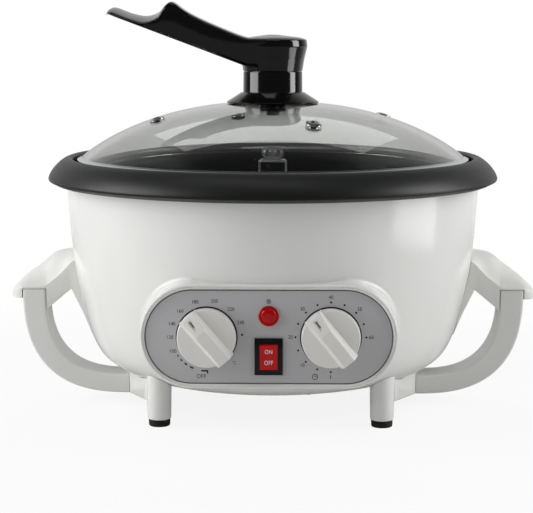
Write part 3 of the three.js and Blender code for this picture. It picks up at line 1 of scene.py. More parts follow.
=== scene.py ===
# %% [markdown]
# # A home coffee bean roaster
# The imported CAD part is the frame: it fixes the size, the places and what moves. This file dresses
# it piece by piece, with the shapes, edges, prints and finishes that a buyer would see in a studio
# photograph. Lengths are written in millimetres and turned to Blender's metres in one place.

# %% Load the frame
import math

import bmesh
import bpy
from mathutils import Matrix, Vector


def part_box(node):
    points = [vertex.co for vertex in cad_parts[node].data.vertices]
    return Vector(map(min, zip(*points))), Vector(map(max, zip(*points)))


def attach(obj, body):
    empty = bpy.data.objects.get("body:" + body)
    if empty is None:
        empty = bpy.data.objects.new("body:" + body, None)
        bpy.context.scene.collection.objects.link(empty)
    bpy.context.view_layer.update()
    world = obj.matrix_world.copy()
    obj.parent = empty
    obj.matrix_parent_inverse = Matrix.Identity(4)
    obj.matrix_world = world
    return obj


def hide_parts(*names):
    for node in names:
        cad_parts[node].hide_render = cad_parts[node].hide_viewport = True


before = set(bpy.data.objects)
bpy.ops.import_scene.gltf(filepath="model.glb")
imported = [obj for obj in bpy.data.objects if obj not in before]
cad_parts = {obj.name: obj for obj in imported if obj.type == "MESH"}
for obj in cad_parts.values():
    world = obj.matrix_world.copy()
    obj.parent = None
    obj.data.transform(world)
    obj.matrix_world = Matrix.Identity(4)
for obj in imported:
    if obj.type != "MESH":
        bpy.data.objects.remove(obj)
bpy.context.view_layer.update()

# %% [markdown]
# ## Working by hand, in code
# Blender's operators act on what is selected, so each piece starts from an empty selection.
# `edited` opens edit mode on one object and `pick` selects its faces by a test on their middle and
# normal, as a modeller would click them.

# %% Selection and edit mode
MM = 0.001
MERGE = 0.004 * MM
FIT = 0.3  # clearance between neighbouring pieces, in mm
print("merge distance in mm:", MERGE / MM, "clearance:", FIT)


def alone(piece):
    """Select one object and nothing else."""
    if bpy.context.object and bpy.context.object.mode == "EDIT":
        bpy.ops.object.mode_set(mode="OBJECT")
    bpy.ops.object.select_all(action="DESELECT")
    piece.select_set(True)
    bpy.context.view_layer.objects.active = piece
    return piece


def edited(piece, *steps):
    """Open edit mode with all selected, take the steps, and close it again."""
    alone(piece)
    bpy.ops.object.mode_set(mode="EDIT")
    bpy.ops.mesh.select_all(action="SELECT")
    for step in steps:
        step()
    bpy.ops.object.mode_set(mode="OBJECT")
    return piece


def pick(test):
    """Select the faces whose middle (in mm) and normal pass a test."""
    shape = bmesh.from_edit_mesh(bpy.context.object.data)
    bpy.ops.mesh.select_all(action="DESELECT")
    for face in shape.faces:
        face.select_set(test(face.calc_center_median() / MM, face.normal))
    bmesh.update_edit_mesh(bpy.context.object.data)


def sew():
    """Merge doubled corners and turn all faces outwards."""
    bpy.ops.mesh.select_all(action="SELECT")
    bpy.ops.mesh.remove_doubles(threshold=MERGE)
    bpy.ops.mesh.normals_make_consistent(inside=False)


def start(kind, name, **settings):
    """Add a primitive on its own and name it."""
    if bpy.context.object and bpy.context.object.mode == "EDIT":
        bpy.ops.object.mode_set(mode="OBJECT")
    bpy.ops.object.select_all(action="DESELECT")
    getattr(bpy.ops.mesh, f"primitive_{kind}_add")(**settings)
    piece = bpy.context.object
    piece.name = name
    return piece


# %% Modifiers, placing and smooth shading
def shaped(piece, kind, **settings):
    """Add one modifier and apply it."""
    alone(piece)
    added = piece.modifiers.new(kind.title(), kind)
    for key, value in settings.items():
        setattr(added, key, value)
    bpy.ops.object.modifier_apply(modifier=added.name)
    return piece


def eased(piece, width, steps=2, angle=32):
    """Round the sharp edges, as a mould or a deburring wheel leaves them."""
    return shaped(piece, "BEVEL", width=width * MM, segments=steps, limit_method="ANGLE",
                  angle_limit=math.radians(angle), use_clamp_overlap=True)


def combined(piece, tool, operation):
    """Cut, join or keep what a second solid says, and delete that solid."""
    shaped(piece, "BOOLEAN", operation=operation, object=tool, solver="EXACT")
    bpy.data.objects.remove(tool)
    return piece


def placed(piece, matrix):
    """Move a finished shape to its place and leave its object at the origin."""
    alone(piece)
    piece.matrix_world = matrix
    bpy.ops.object.transform_apply(location=True, rotation=True, scale=True)
    return piece


def smooth(piece, degrees=34):
    """Shade the round faces smooth and keep the folds crisp."""
    alone(piece)
    bpy.ops.object.shade_smooth_by_angle(angle=math.radians(degrees))
    return piece


def one_piece(name, *parts):
    """Join several shapes into one mesh."""
    alone(parts[0])
    for part in parts[1:]:
        part.select_set(True)
    bpy.ops.object.join()
    parts[0].name = name
    return parts[0]


def copied(piece, name, matrix):
    """Copy a shape with its own mesh and move the copy."""
    twin = piece.copy()
    twin.data = piece.data.copy()
    bpy.context.collection.objects.link(twin)
    twin.name = name
    return placed(twin, matrix)


# %% Boxes and bars to cut and build with
def moved(x=0, y=0, z=0):
    """The matrix of a move, in mm."""
    return Matrix.Translation((x * MM, y * MM, z * MM))


def rooted(piece):
    """Apply a primitive's own place, turn and size to its mesh."""
    return placed(piece, piece.matrix_world.copy())


def block(name, size, middle=(0, 0, 0), tilt=0):
    """A box in mm round its middle, tipped about x by an angle in degrees."""
    return rooted(start("cube", name, size=MM, location=[value * MM for value in middle],
                        rotation=(math.radians(tilt), 0, 0), scale=size))


def rod(name, radius, length, middle=(0, 0, 0), sides=32):
    """An upright round bar in mm round its middle, to drill with."""
    return rooted(start("cylinder", name, vertices=sides, radius=radius * MM, depth=length * MM,
                        location=[value * MM for value in middle]))


# %% [markdown]
# ## Curves and outlines
# Most pieces are turned on a lathe, pressed from sheet or moulded round a section. Their outlines
# are short lists of corners, each with its own fillet, or a smooth curve through a few stations. A
# Bevel modifier could round the corners too, but all by one width. Here each has its own.

# %% Outlines
def filleted(corners, steps=5):
    """Points along a closed outline whose corners are (x, y, fillet radius)."""
    points = []
    for i, (x, y, radius) in enumerate(corners):
        here = Vector((x, y))
        before = Vector(corners[i - 1][:2]) - here
        after = Vector(corners[(i + 1) % len(corners)][:2]) - here
        if radius == 0:
            points.append((x, y))
            continue
        reach = radius / math.tan(before.angle(after) / 2)
        reach = min(reach, before.length / 2, after.length / 2)
        first, last = here + before.normalized() * reach, here + after.normalized() * reach
        for k in range(steps + 1):
            t = k / steps
            points.append(tuple(first * (1 - t) ** 2 + here * 2 * t * (1 - t) + last * t ** 2))
    return points


def through(stations, steps):
    """A smooth curve through a row of points."""
    points = []
    last = len(stations) - 1
    for i in range(last):
        a, b, c, d = (Vector(stations[min(max(i + k, 0), last)]) for k in (-1, 0, 1, 2))
        for k in range(steps):
            t = k / steps
            points.append(tuple(0.5 * (2 * b + (c - a) * t + (2 * a - 5 * b + 4 * c - d) * t ** 2
                                       + (3 * b - a - 3 * c + d) * t ** 3)))
    return points + [tuple(stations[-1])]


def beside(points, distance):
    """The same curve moved to its left by a distance."""
    moved = []
    for i, point in enumerate(points):
        along = Vector(points[min(i + 1, len(points) - 1)]) - Vector(points[max(i - 1, 0)])
        along.normalize()
        moved.append((point[0] - along.y * distance, point[1] + along.x * distance))
    return moved


def stadium(width, height, count):
    """Corners of a shape with round ends, with the way out at each, both in x and z."""
    radius, reach, half = height / 2, (width - height) / 2, count // 2
    ring = []
    for side in (1, -1):
        for k in range(half):
            turn = math.pi * (k / (half - 1) - 0.5)
            out = Vector((side * math.cos(turn), side * math.sin(turn)))
            ring.append((Vector((side * reach, 0)) + out * radius, out))
    return ring


# %% [markdown]
# ## Lathe, wrap and plate
# `turned` extrudes a single point along an outline and spins it round the upright axis. `wrapped`
# lays a grid round a row of sections, like a sheet round a former, and sews the seam: it suits the
# lever, the grips and the thumb plates. `plate` is a flat outline with a thickness.

# %% The three ways to make a solid
def turned(name, outline, turns=96):
    """Spin an outline of (radius, height). It closes on itself unless both ends are on the axis."""
    on_axis = outline[0][0] == 0 and outline[-1][0] == 0
    row = list(outline) if on_axis else [*outline, outline[0]]
    piece = start("plane", name, size=MM, enter_editmode=True)
    bpy.ops.mesh.merge(type="CENTER")
    bpy.ops.transform.translate(value=(row[0][0] * MM, 0, row[0][1] * MM))
    for (r, z), (next_r, next_z) in zip(row, row[1:]):
        bpy.ops.mesh.extrude_region_move(
            TRANSFORM_OT_translate={"value": ((next_r - r) * MM, 0, (next_z - z) * MM)})
    bpy.ops.mesh.select_all(action="SELECT")
    bpy.ops.mesh.spin(steps=turns, angle=2 * math.pi, center=(0, 0, 0), axis=(0, 0, 1))
    sew()
    bpy.ops.object.mode_set(mode="OBJECT")
    return piece


def wrapped(name, rings):
    """Wrap a grid round rings of equal length, sew it and close its two ends."""
    count = len(rings[0])
    piece = start("grid", name, x_subdivisions=count, y_subdivisions=len(rings) - 1)
    corners = [ring[i % count] for ring in rings for i in range(count + 1)]
    flat = [value * MM for corner in corners for value in corner]
    piece.data.vertices.foreach_set("co", flat)
    edited(piece, lambda: bpy.ops.mesh.remove_doubles(threshold=MERGE),
           lambda: bpy.ops.mesh.select_all(action="DESELECT"),
           lambda: bpy.ops.mesh.select_non_manifold(),
           lambda: bpy.ops.mesh.fill_holes(sides=0), sew)
    return piece


def plate(name, outline, low, high, axis="Y"):
    """A flat outline, in the two other axes, with its faces at two heights along one axis."""
    order = {"X": lambda a, b, at: (at, a, b), "Y": lambda a, b, at: (a, at, b),
             "Z": lambda a, b, at: (a, b, at)}[axis]
    return wrapped(name, [[order(a, b, at) for a, b in outline] for at in (low, high)])


# %% [markdown]
# ## Finishes
# Each finish is named for the real stuff. One small function adds a node. Colours are written as
# sRGB hex, as a colour picker shows them, and `linear` turns them to what the shader wants. Pattern
# scales come from a size in millimetres. A flat colour would do from afar, but a moulding is never
# quite even: two close tones drift over it, and its grain varies the gloss.

# %% Nodes and colours
def linear(hex_colour):
    """Turn an sRGB hex colour to the linear values of the shader."""
    parts = [int(hex_colour[i:i + 2], 16) / 255 for i in (1, 3, 5)]
    return [c / 12.92 if c <= 0.04045 else ((c + 0.055) / 1.055) ** 2.4 for c in parts] + [1]


def add(material, kind, values=(), links=(), **settings):
    """Add a node with its settings, its socket values and the sockets that feed it."""
    made = material.node_tree.nodes.new(kind)
    for key, value in settings.items():
        setattr(made, key, value)
    for key, value in dict(values).items():
        made.inputs[key].default_value = value
    for key, source in dict(links).items():
        material.node_tree.links.new(source, made.inputs[key])
    return made


def per_mm(size):
    """Texture scale at which a pattern's features are about a size in mm."""
    return 1 / (size * MM)


# %% One recipe for moulded, coated and ground surfaces
def finish(name, light, dark, rough, grain, lift, cloud=26, stretch=(1, 1, 1), **sockets):
    """A surface with two close tones that drift over `cloud` mm, and a grain of `grain` mm.

    `rough` is the roughness in its smoothest and dullest spots, and `lift` the grain's height
    in mm.
    """
    material = bpy.data.materials.new(name)
    material.use_nodes = True
    shader = material.node_tree.nodes["Principled BSDF"]
    for key, value in sockets.items():
        shader.inputs[key.replace("_", " ")].default_value = value
    place = add(material, "ShaderNodeTexCoord").outputs["Object"]
    pulled = add(material, "ShaderNodeMapping", {"Scale": stretch}, {"Vector": place})
    drift = add(material, "ShaderNodeTexNoise", {"Scale": per_mm(cloud), "Detail": 3},
                {"Vector": place})
    fine = add(material, "ShaderNodeTexNoise", {"Scale": per_mm(grain), "Detail": 2},
               {"Vector": pulled.outputs[0]})
    tone = add(material, "ShaderNodeMix", {6: linear(light), 7: linear(dark)},
               {0: drift.outputs["Fac"]}, data_type="RGBA")
    sheen = add(material, "ShaderNodeMapRange",
                {"From Min": 0.3, "From Max": 0.7, "To Min": rough[0], "To Max": rough[1]},
                {"Value": fine.outputs["Fac"]})
    relief = add(material, "ShaderNodeBump", {"Strength": 0.6, "Distance": lift * MM},
                 {"Height": fine.outputs["Fac"]})
    material.node_tree.links.new(tone.outputs[2], shader.inputs["Base Color"])
    material.node_tree.links.new(sheen.outputs[0], shader.inputs["Roughness"])
    material.node_tree.links.new(relief.outputs[0], shader.inputs["Normal"])
    return material


# %% The finishes of the roaster
# Gloss moulded polypropylene: clean reflections over a faint, slow unevenness
white_shell = finish("gloss_polypropylene", "#e9e9e7", "#e2e2e0", (0.1, 0.17), 1.4, 0.004,
                     cloud=60, IOR=1.49)
# Satin white ABS of the thumb plates, duller than the bowl
satin_white = finish("satin_abs_white", "#e6e6e3", "#deded9", (0.36, 0.46), 0.6, 0.008, IOR=1.5)
# Satin moulded ABS of the hand grips: a fine spark texture that spreads the light
grey_grip = finish("satin_abs_grey", "#e2e2e0", "#d9d9d7", (0.4, 0.5), 0.5, 0.012, IOR=1.53)
# Stoved paint on the pressed trim ring: a fine speckle that glitters at a low angle
ring_paint = finish("stoved_satin_black", "#1b1c1e", "#101113", (0.32, 0.55), 0.55, 0.05, IOR=1.45)
# Gloss phenolic resin of the knob: near black, with sharp window reflections
phenolic = finish("gloss_phenolic_black", "#0b0b0c", "#070707", (0.07, 0.13), 2.2, 0.003, IOR=1.62)
matt_black = finish("matt_nylon_black", "#19191b", "#111112", (0.5, 0.62), 0.4, 0.01, IOR=1.53)
# Non-stick coating: dark, low sheen, with a sprayed orange-peel grain
non_stick = finish("sprayed_non_stick", "#1e1e20", "#141416", (0.34, 0.5), 0.7, 0.02, IOR=1.38)
# Rolled stainless steel: bright, with a faint drawn grain round the band
steel = finish("polished_stainless", "#d2d3d4", "#bdbfc1", (0.1, 0.2), 0.9, 0.002, Metallic=1.0)
brushed_steel = finish("brushed_stainless", "#c6c7c8", "#a9abad", (0.2, 0.36), 0.5, 0.006,
                       stretch=(1, 1, 0.06), Metallic=1.0)
# Blasted stainless of the stirrer's small parts, which spreads the little light under the glass
satin_steel = finish("blasted_stainless", "#e9eaeb", "#dbdcde", (0.36, 0.5), 0.5, 0.006,
                     Metallic=0.15)
bright_screw = finish("plated_screw", "#eeeeee", "#e0e0e0", (0.12, 0.2), 0.8, 0.003, Metallic=0.6)
galvanised = finish("galvanised_sheet", "#8f9194", "#6f7174", (0.32, 0.5), 3, 0.004, cloud=9,
                    Metallic=1.0)
# Screen-printed aluminium label: fine blasted grain under a clear lacquer
silver_label = finish("blasted_aluminium_label", "#c0c0c2", "#b5b5b8", (0.34, 0.46), 0.45, 0.004,
                      cloud=80, Metallic=0.12)
ivory_knob = finish("satin_abs_ivory", "#e6e5e1", "#dfdeda", (0.3, 0.4), 0.6, 0.006, IOR=1.53)
rubber = finish("moulded_rubber", "#161617", "#0e0e0f", (0.7, 0.85), 0.5, 0.02)
brass = finish("turned_brass", "#b9975a", "#a17f45", (0.22, 0.36), 0.6, 0.004, Metallic=1.0)
bezel_black = finish("gloss_nylon_black", "#161518", "#100f12", (0.16, 0.26), 0.8, 0.004, IOR=1.53)
# Translucent polycarbonate of the switch and the neon's cap
switch_red = finish("gloss_polycarbonate_red", "#cf0811", "#bb050c", (0.1, 0.17), 1.2, 0.003,
                    IOR=1.58)
lamp_red = finish("clear_polycarbonate_red", "#c40309", "#960206", (0.05, 0.1), 1.6, 0.01,
                  cloud=2.4, IOR=1.58)
# black screen ink for the figures and marks; the same material also paints the shade lines round the
# label's edge and the knobs
ink_and_painted_shade = finish("screen_ink_and_painted_shade_black", "#1c1c1e", "#141416", (0.5, 0.6), 0.4, 0.002)
white_ink = finish("pad_ink_white", "#eeeeec", "#e4e4e2", (0.45, 0.55), 0.4, 0.002)
ceramic = finish("ivory_ceramic", "#d3d1cc", "#c4c2bb", (0.35, 0.5), 0.8, 0.006)

# %% [markdown]
# Tempered glass is a clear dielectric. Thin walls show the room twice, so its roughness stays near
# zero and its tint is nearly white, with a breath of green-grey as soda-lime glass has.

# %% Tempered glass
glass = bpy.data.materials.new("tempered_soda_lime_glass")
glass.use_nodes = True
glass_shader = glass.node_tree.nodes["Principled BSDF"]
for key, value in {"IOR": 1.52, "Transmission Weight": 1.0, "Roughness": 0.0}.items():
    glass_shader.inputs[key].default_value = value
glass_place = add(glass, "ShaderNodeTexCoord").outputs["Object"]
glass_drift = add(glass, "ShaderNodeTexNoise", {"Scale": per_mm(70), "Detail": 1},
                  {"Vector": glass_place})
glass_tint = add(glass, "ShaderNodeMix", {6: linear("#dcdddb"), 7: linear("#d6d8d5")},
                 {0: glass_drift.outputs["Fac"]}, data_type="RGBA")
glass.node_tree.links.new(glass_tint.outputs[2], glass_shader.inputs["Base Color"])
print("finishes:", len(bpy.data.materials))


# %% Dressing a piece
def dressed(piece, body, slot, material, *nodes):
    """Give a piece its finish, its body and the CAD nodes that it stands for. The slot is not used.
    """
    piece.data.materials.clear()
    piece.data.materials.append(material)
    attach(piece, body)
    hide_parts(*nodes)
    print(piece.name, "faces", len(piece.data.polygons))
    return piece


# %% [markdown]
# ## The housing
# A deep white bowl, moulded in one with the cowl round its control panel. The bowl could be a
# cylinder shaped with loop cuts, but a lathe outline keeps the wall's thickness even. The cowl is a
# row of stadium rings that run from the panel's seat over a rounded lip, back along the cowl's
# side, and out on to the bowl with a fillet that gets smaller where the cowl hardly stands proud.
# A boolean of a block and the bowl would leave a hard seam there.

# %% Bowl
BOWL_RADIUS, FLOOR_Z, RIM_Z, WALL, OPENING = 151.5, 24, 166.7, 2.6, 74
# (share of the radius, share of the height), from the rim down to the floor
BOWL_SHARES = [(1, 1), (0.993, 0.86), (0.981, 0.7), (0.963, 0.54), (0.936, 0.4), (0.909, 0.28),
               (0.88, 0.185), (0.838, 0.11), (0.772, 0.055), (0.7, 0.02), (0.63, 0)]
bowl_outside = through([(BOWL_RADIUS * r, FLOOR_Z + (RIM_Z - FLOOR_Z) * z)
                        for r, z in BOWL_SHARES], 5)


def bowl_radius_at(z):
    """Outer radius of the bowl at a height."""
    for (upper_r, upper_z), (lower_r, lower_z) in zip(bowl_outside, bowl_outside[1:]):
        if upper_z >= z >= lower_z:
            return lower_r + (upper_r - lower_r) * (z - lower_z) / (upper_z - lower_z)
    return BOWL_RADIUS if z > RIM_Z else bowl_outside[-1][0]


def bowl_tool(name, grow):
    """A filled bowl to cut other pieces with, a little larger than the real one."""
    skin = beside(bowl_outside, grow)
    return turned(name, [(0, RIM_Z), (skin[0][0], RIM_Z), *skin[1:], (0, skin[-1][1])], 128)


bowl_inside = beside(bowl_outside, -WALL)
bowl = turned("housing_shell", [*bowl_outside, (OPENING, FLOOR_Z), (OPENING, FLOOR_Z + WALL),
                                *reversed(bowl_inside)], 144)

# %% Panel outline
PANEL_Y, PANEL_Z, PANEL_WIDTH, PANEL_HEIGHT, PANEL_POINTS = -150, 75.8, 163.4, 62.6, 168
panel_ring = stadium(PANEL_WIDTH, PANEL_HEIGHT, PANEL_POINTS)
print("corners round the panel:", len(panel_ring))


def panel_edge(out_by=0):
    """The panel's outline seen from the front, moved outwards by a distance."""
    return [(corner.x + out.x * out_by, corner.y + out.y * out_by + PANEL_Z)
            for corner, out in panel_ring]


def bowl_y(x, z):
    """Front of the bowl at a place seen from the front."""
    return -math.sqrt(max(bowl_radius_at(z) ** 2 - x ** 2, 0))


# %% Cowl round the panel
COWL_LIP, COWL_SIDE = 1.0, 3.5  # lip in front of the panel, and the side's distance from the panel
FILLET_WIDTH, FILLET_HEIGHT, FILLET_STEPS = 4, 6, 6
WIDTH_SHARE, HEIGHT_SHARE = 0.45, 0.5  # the most of the cowl's side that the fillet takes up
SINK, SPREAD_X, SPREAD_Z = 1.4, 1.004, 1.01
cowl_front = PANEL_Y - COWL_LIP
# (distance out from the panel, distance back from the lip's front): seat, bevel, fine groove, lip
LIP_PROFILE = [(0.35, 2.8), (0.35, 1.1), (0.5, 0.95), (1.5, 0.15), (1.65, 0.12), (1.75, 0.35),
               (1.95, 0.35), (2.05, 0.02), (2.3, 0), (2.8, 0.14), (3.2, 0.5), (3.45, 1.1)]
cowl_rings = [[(x, cowl_front + back, z) for x, z in panel_edge(out_by)]
              for out_by, back in LIP_PROFILE]
for step in range(FILLET_STEPS + 1):
    blend = step / FILLET_STEPS
    bow = 1 - math.sqrt(1 - (1 - blend) ** 2)
    ring = []
    for (side_x, side_z), (corner, out) in zip(panel_edge(COWL_SIDE), panel_ring):
        proud = bowl_y(side_x, side_z) - cowl_front
        reach = min(FILLET_WIDTH, 1 + proud * WIDTH_SHARE) * blend
        x, z = corner + out * (COWL_SIDE + reach)
        above = min(FILLET_HEIGHT, proud * HEIGHT_SHARE) * bow
        ring.append((x, bowl_y(x, z + PANEL_Z) - above, z + PANEL_Z))
    cowl_rings.append(ring)
# the last ring dips into the bowl's wall, so that no gap shows
cowl_rings.append([(x * SPREAD_X, y + SINK, PANEL_Z + (z - PANEL_Z) * SPREAD_Z)
                   for x, y, z in cowl_rings[-1]])
cowl = wrapped("cowl", cowl_rings)
housing = smooth(one_piece("housing_body", bowl, cowl), 40)
dressed(housing, "base", "white_shell", white_shell, "housing")

# %% [markdown]
# ## The trim ring
# A black ring of painted pressed steel hides the joint between the bowl and the pan. A torus would
# be too round, so it is turned from its true outline: the flank is a quarter of a superellipse, a
# full round crest leads over to the inner face, and a shelf inside carries the pan's flange.

# %% Trim ring
RING_RADIUS, RING_WIDEST_Z, CREST_RADIUS, CREST_Z = 165, 168.9, 150.8, 183.7
RING_EXPONENT, FLANK_STEPS = 1.4, 22
RING_INNER, SHELF_RADIUS, SHELF_Z, SHELF_SHEET = 147.3, 141.6, 172.3, 3
HEM_RADIUS, HEM_Z, SKIRT_Z, SKIRT_SHEET = 159.5, 165, 156.7, 2.6
flank = []
for k in range(1, FLANK_STEPS):
    turn = k / FLANK_STEPS * math.pi / 2
    out, up = math.cos(turn) ** (2 / RING_EXPONENT), math.sin(turn) ** (2 / RING_EXPONENT)
    flank.append((CREST_RADIUS + (RING_RADIUS - CREST_RADIUS) * out,
                  RING_WIDEST_Z + (CREST_Z - RING_WIDEST_Z) * up, 0))
skirt_outer = BOWL_RADIUS - WALL - 2 * FIT
skirt_inner, hem_inner, on_rim = skirt_outer - SKIRT_SHEET, BOWL_RADIUS + FIT, RIM_Z + FIT
shelf_under = SHELF_Z - SHELF_SHEET
ring_outline = filleted([
    (hem_inner, HEM_Z, 0.4), (HEM_RADIUS, HEM_Z, 1.2), (RING_RADIUS - 0.3, HEM_Z + 2.6, 0.8),
    (RING_RADIUS, RING_WIDEST_Z, 0), *flank, (CREST_RADIUS - 0.6, CREST_Z, 0.8),
    (RING_INNER, CREST_Z - 0.7, 1.6), (RING_INNER, SHELF_Z, 0.6), (SHELF_RADIUS, SHELF_Z, 0.5),
    (SHELF_RADIUS, shelf_under, 0.5), (skirt_inner, shelf_under, 0), (skirt_inner, SKIRT_Z, 0.4),
    (skirt_outer, SKIRT_Z, 0.4), (skirt_outer, on_rim, 0), (hem_inner, on_rim, 0)], 4)
trim = smooth(turned("trim_ring", ring_outline, 160), 50)
dressed(trim, "base", "black_ring", ring_paint, "rim_ring")

# %% [markdown]
# ## The roasting pan
# Pressed aluminium with a sprayed non-stick coat: a flange on the ring's shelf, a sloping wall and
# a wide corner radius. The centre column that guides the drive shaft is a tube with a foot flange.
# Both are round, so a lathe makes them in one go, inside and outside faces together.

# %% Pan and column
PAN_RADIUS, PAN_FLANGE, PAN_FLOOR_Z, PAN_FLOOR, PAN_WALL = 139.4, 146.6, 110.7, 122, 1.8
COLUMN, COLUMN_BORE, COLUMN_FOOT, COLUMN_TOP = 8, 5.6, 13, 149.7
flange_z = SHELF_Z + FIT
flange_top, pan_under, column_hole = flange_z + PAN_WALL, PAN_FLOOR_Z - PAN_WALL, COLUMN + FIT
pan_outline = filleted([
    (column_hole, pan_under, 0), (PAN_FLOOR, pan_under, 12.5), (PAN_RADIUS + PAN_WALL, flange_z, 0),
    (PAN_FLANGE, flange_z, 0.5), (PAN_FLANGE, flange_top, 0.8), (PAN_RADIUS, flange_top, 2),
    (PAN_FLOOR - 0.6, PAN_FLOOR_Z, 12), (column_hole, PAN_FLOOR_Z, 0)], 10)
pan = smooth(turned("coated_pan", pan_outline, 144), 50)
dressed(pan, "base", "non_stick", non_stick, "roasting_pan")
foot_under = PAN_FLOOR_Z + FIT
column_outline = filleted([
    (COLUMN_BORE, pan_under, 0), (COLUMN, pan_under, 0), (COLUMN, foot_under, 0),
    (COLUMN_FOOT, foot_under, 0.2), (COLUMN_FOOT, foot_under + 0.9, 0.4),
    (COLUMN, foot_under + 3, 2), (COLUMN, COLUMN_TOP, 0.6), (COLUMN_BORE, COLUMN_TOP, 0.4)])
column = smooth(turned("pan_column_tube", column_outline, 48))
dressed(column, "base", "non_stick", non_stick, "pan_column")

# %% [markdown]
# ## The lid
# A dome of tempered glass in a rolled steel band, with four riveted steam vents. It rests loose on
# the pan's flange and lifts straight off. Light bends as it enters and leaves glass, so the dome is
# a closed shell with both of its faces, never a single sheet. The vents repeat one shape, so one
# is modelled and copied, and the band is turned with its lip already rolled over the glass.

# %% Glass dome
GLASS_RADIUS, SHOULDER_Z, RISE, GLASS = 143, 181.1, 42.6, 4
DOME_FLATNESS, DOME_POWER, STEM_HOLE = 2.3, 0.86, 5
DOME_STEPS = 40
BAND_Z = flange_top + FIT


def dome_z(radius, edge, shoulder):
    """Height of a dome over a radius."""
    return shoulder + RISE * (1 - min(radius / edge, 1) ** DOME_FLATNESS) ** DOME_POWER


def glass_top(radius):
    """Height of the glass's outer face over a radius."""
    return dome_z(radius, GLASS_RADIUS, SHOULDER_Z)


def dome_row(edge, shoulder):
    """Points of a dome from its stem hole to its edge, closer together near the edge."""
    turns = [k / DOME_STEPS * math.pi / 2 for k in range(DOME_STEPS + 1)]
    radii = [STEM_HOLE + (edge - STEM_HOLE) * math.sin(turn) for turn in turns]
    return [(radius, dome_z(radius, edge, shoulder)) for radius in radii]


outer_dome = dome_row(GLASS_RADIUS, SHOULDER_Z)
inner_dome = dome_row(GLASS_RADIUS - GLASS, SHOULDER_Z - GLASS)
dome = turned("glass_dome", [
    *outer_dome, (GLASS_RADIUS, BAND_Z + 1.5), (GLASS_RADIUS - 0.5, BAND_Z + 1.1),
    (GLASS_RADIUS - GLASS, BAND_Z + 1.1), *reversed(inner_dome)], 160)
print("top of the glass in mm:", round(glass_top(0), 1))

# %% Vent places
VENT_PITCH, VENT_HOLE, VENT_FLANGE, VENT_BORE, VENT_START = 88, 3.6, 5.6, 2.2, -70.4
dome_fall = glass_top(VENT_PITCH - VENT_HOLE) - glass_top(VENT_PITCH + VENT_HOLE)
vent_tilt = math.atan2(dome_fall, 2 * VENT_HOLE)
vent_places = [Matrix.Rotation(math.radians(VENT_START + 90 * k), 4, "Z")
               @ moved(VENT_PITCH, 0, glass_top(VENT_PITCH)) @ Matrix.Rotation(vent_tilt, 4, "Y")
               for k in range(4)]
for place in vent_places:
    combined(dome, placed(rod("drill", VENT_HOLE, 24), place), "DIFFERENCE")
dressed(smooth(dome, 30), "lid", "lid_glass", glass, "lid_glass")

# %% Steam vents
# the flanges lie above and below the glass, and the crimp is a rosette pressed into the upper one
FLANGE_TOP, FLANGE_UNDER, PETALS, CRIMP, ROSETTE_POINTS = 1.9, -4.2, 6, 0.55, 72
vent_outline = filleted([
    (VENT_BORE, FLANGE_UNDER - 1.6, 0.3), (VENT_FLANGE, FLANGE_UNDER - 1.6, 0.3),
    (VENT_FLANGE, FLANGE_UNDER, 0.2), (VENT_HOLE - FIT, FLANGE_UNDER, 0), (VENT_HOLE - FIT, FIT, 0),
    (VENT_FLANGE, FIT, 0.2), (VENT_FLANGE, 1.0, 0.4), (VENT_HOLE, FLANGE_TOP, 0.5),
    (VENT_BORE, FLANGE_TOP, 0.5)], 4)
rosette = []
for k in range(ROSETTE_POINTS):
    turn = 2 * math.pi * k / ROSETTE_POINTS
    reach = VENT_BORE + CRIMP * (1 + math.cos(PETALS * turn))
    rosette.append((reach * math.cos(turn), reach * math.sin(turn)))
eyelet_model = turned("eyelet_model", vent_outline, 48)
combined(eyelet_model, plate("crimp", rosette, FLANGE_TOP - 1, FLANGE_TOP + 1.1, "Z"), "DIFFERENCE")
for k, place in enumerate(vent_places):
    eyelet = copied(eyelet_model, f"vent_eyelet_{k + 1}", place)
    dressed(smooth(eyelet), "lid", "steel", steel, f"lid_vent_eyelet_{k + 1}")
bpy.data.objects.remove(eyelet_model)

# %% Rolled band
LIP_REACH, SHEET, BAND_SHEET, BAND_FOLD = 2.4, 0.5, 0.8, 6.5
band_in, band_out = GLASS_RADIUS + FIT, GLASS_RADIUS + FIT + BAND_SHEET
fold_in = band_in - BAND_FOLD


def lip(inward, lift):
    """A place on the band's upper lip, which is rolled over on to the glass."""
    radius = GLASS_RADIUS - inward
    return radius, glass_top(radius) + 0.15 + lift, 0


band_outline = filleted([
    (fold_in, BAND_Z, 0.3), (band_out, BAND_Z, 0.6), (band_out, SHOULDER_Z - 0.2, 0.5),
    (band_out - 0.1, SHOULDER_Z + 1.3, 0.7), lip(0.8, 0.7), lip(1.6, SHEET),
    lip(LIP_REACH, SHEET * 0.7), lip(LIP_REACH, 0), lip(1.6, 0), lip(0.7, 0),
    (band_in, SHOULDER_Z, 0), (band_in, BAND_Z + BAND_SHEET, 0.3),
    (fold_in, BAND_Z + BAND_SHEET, 0.3)], 4)
band = smooth(turned("rolled_band", band_outline, 160), 50)
dressed(band, "lid", "steel", steel, "lid_rim_band")

# %% [markdown]
# ## The lid knob
# A wide foot cone sits on a washer on the glass, a round neck stands on it, and the lever turns
# into the hub at its top. The lever's top edge and underside are two curves seen from the side, and
# its sections are rounded, so it is wrapped round a row of stations. Near its end the top leans to
# the front and makes a thumb rest.

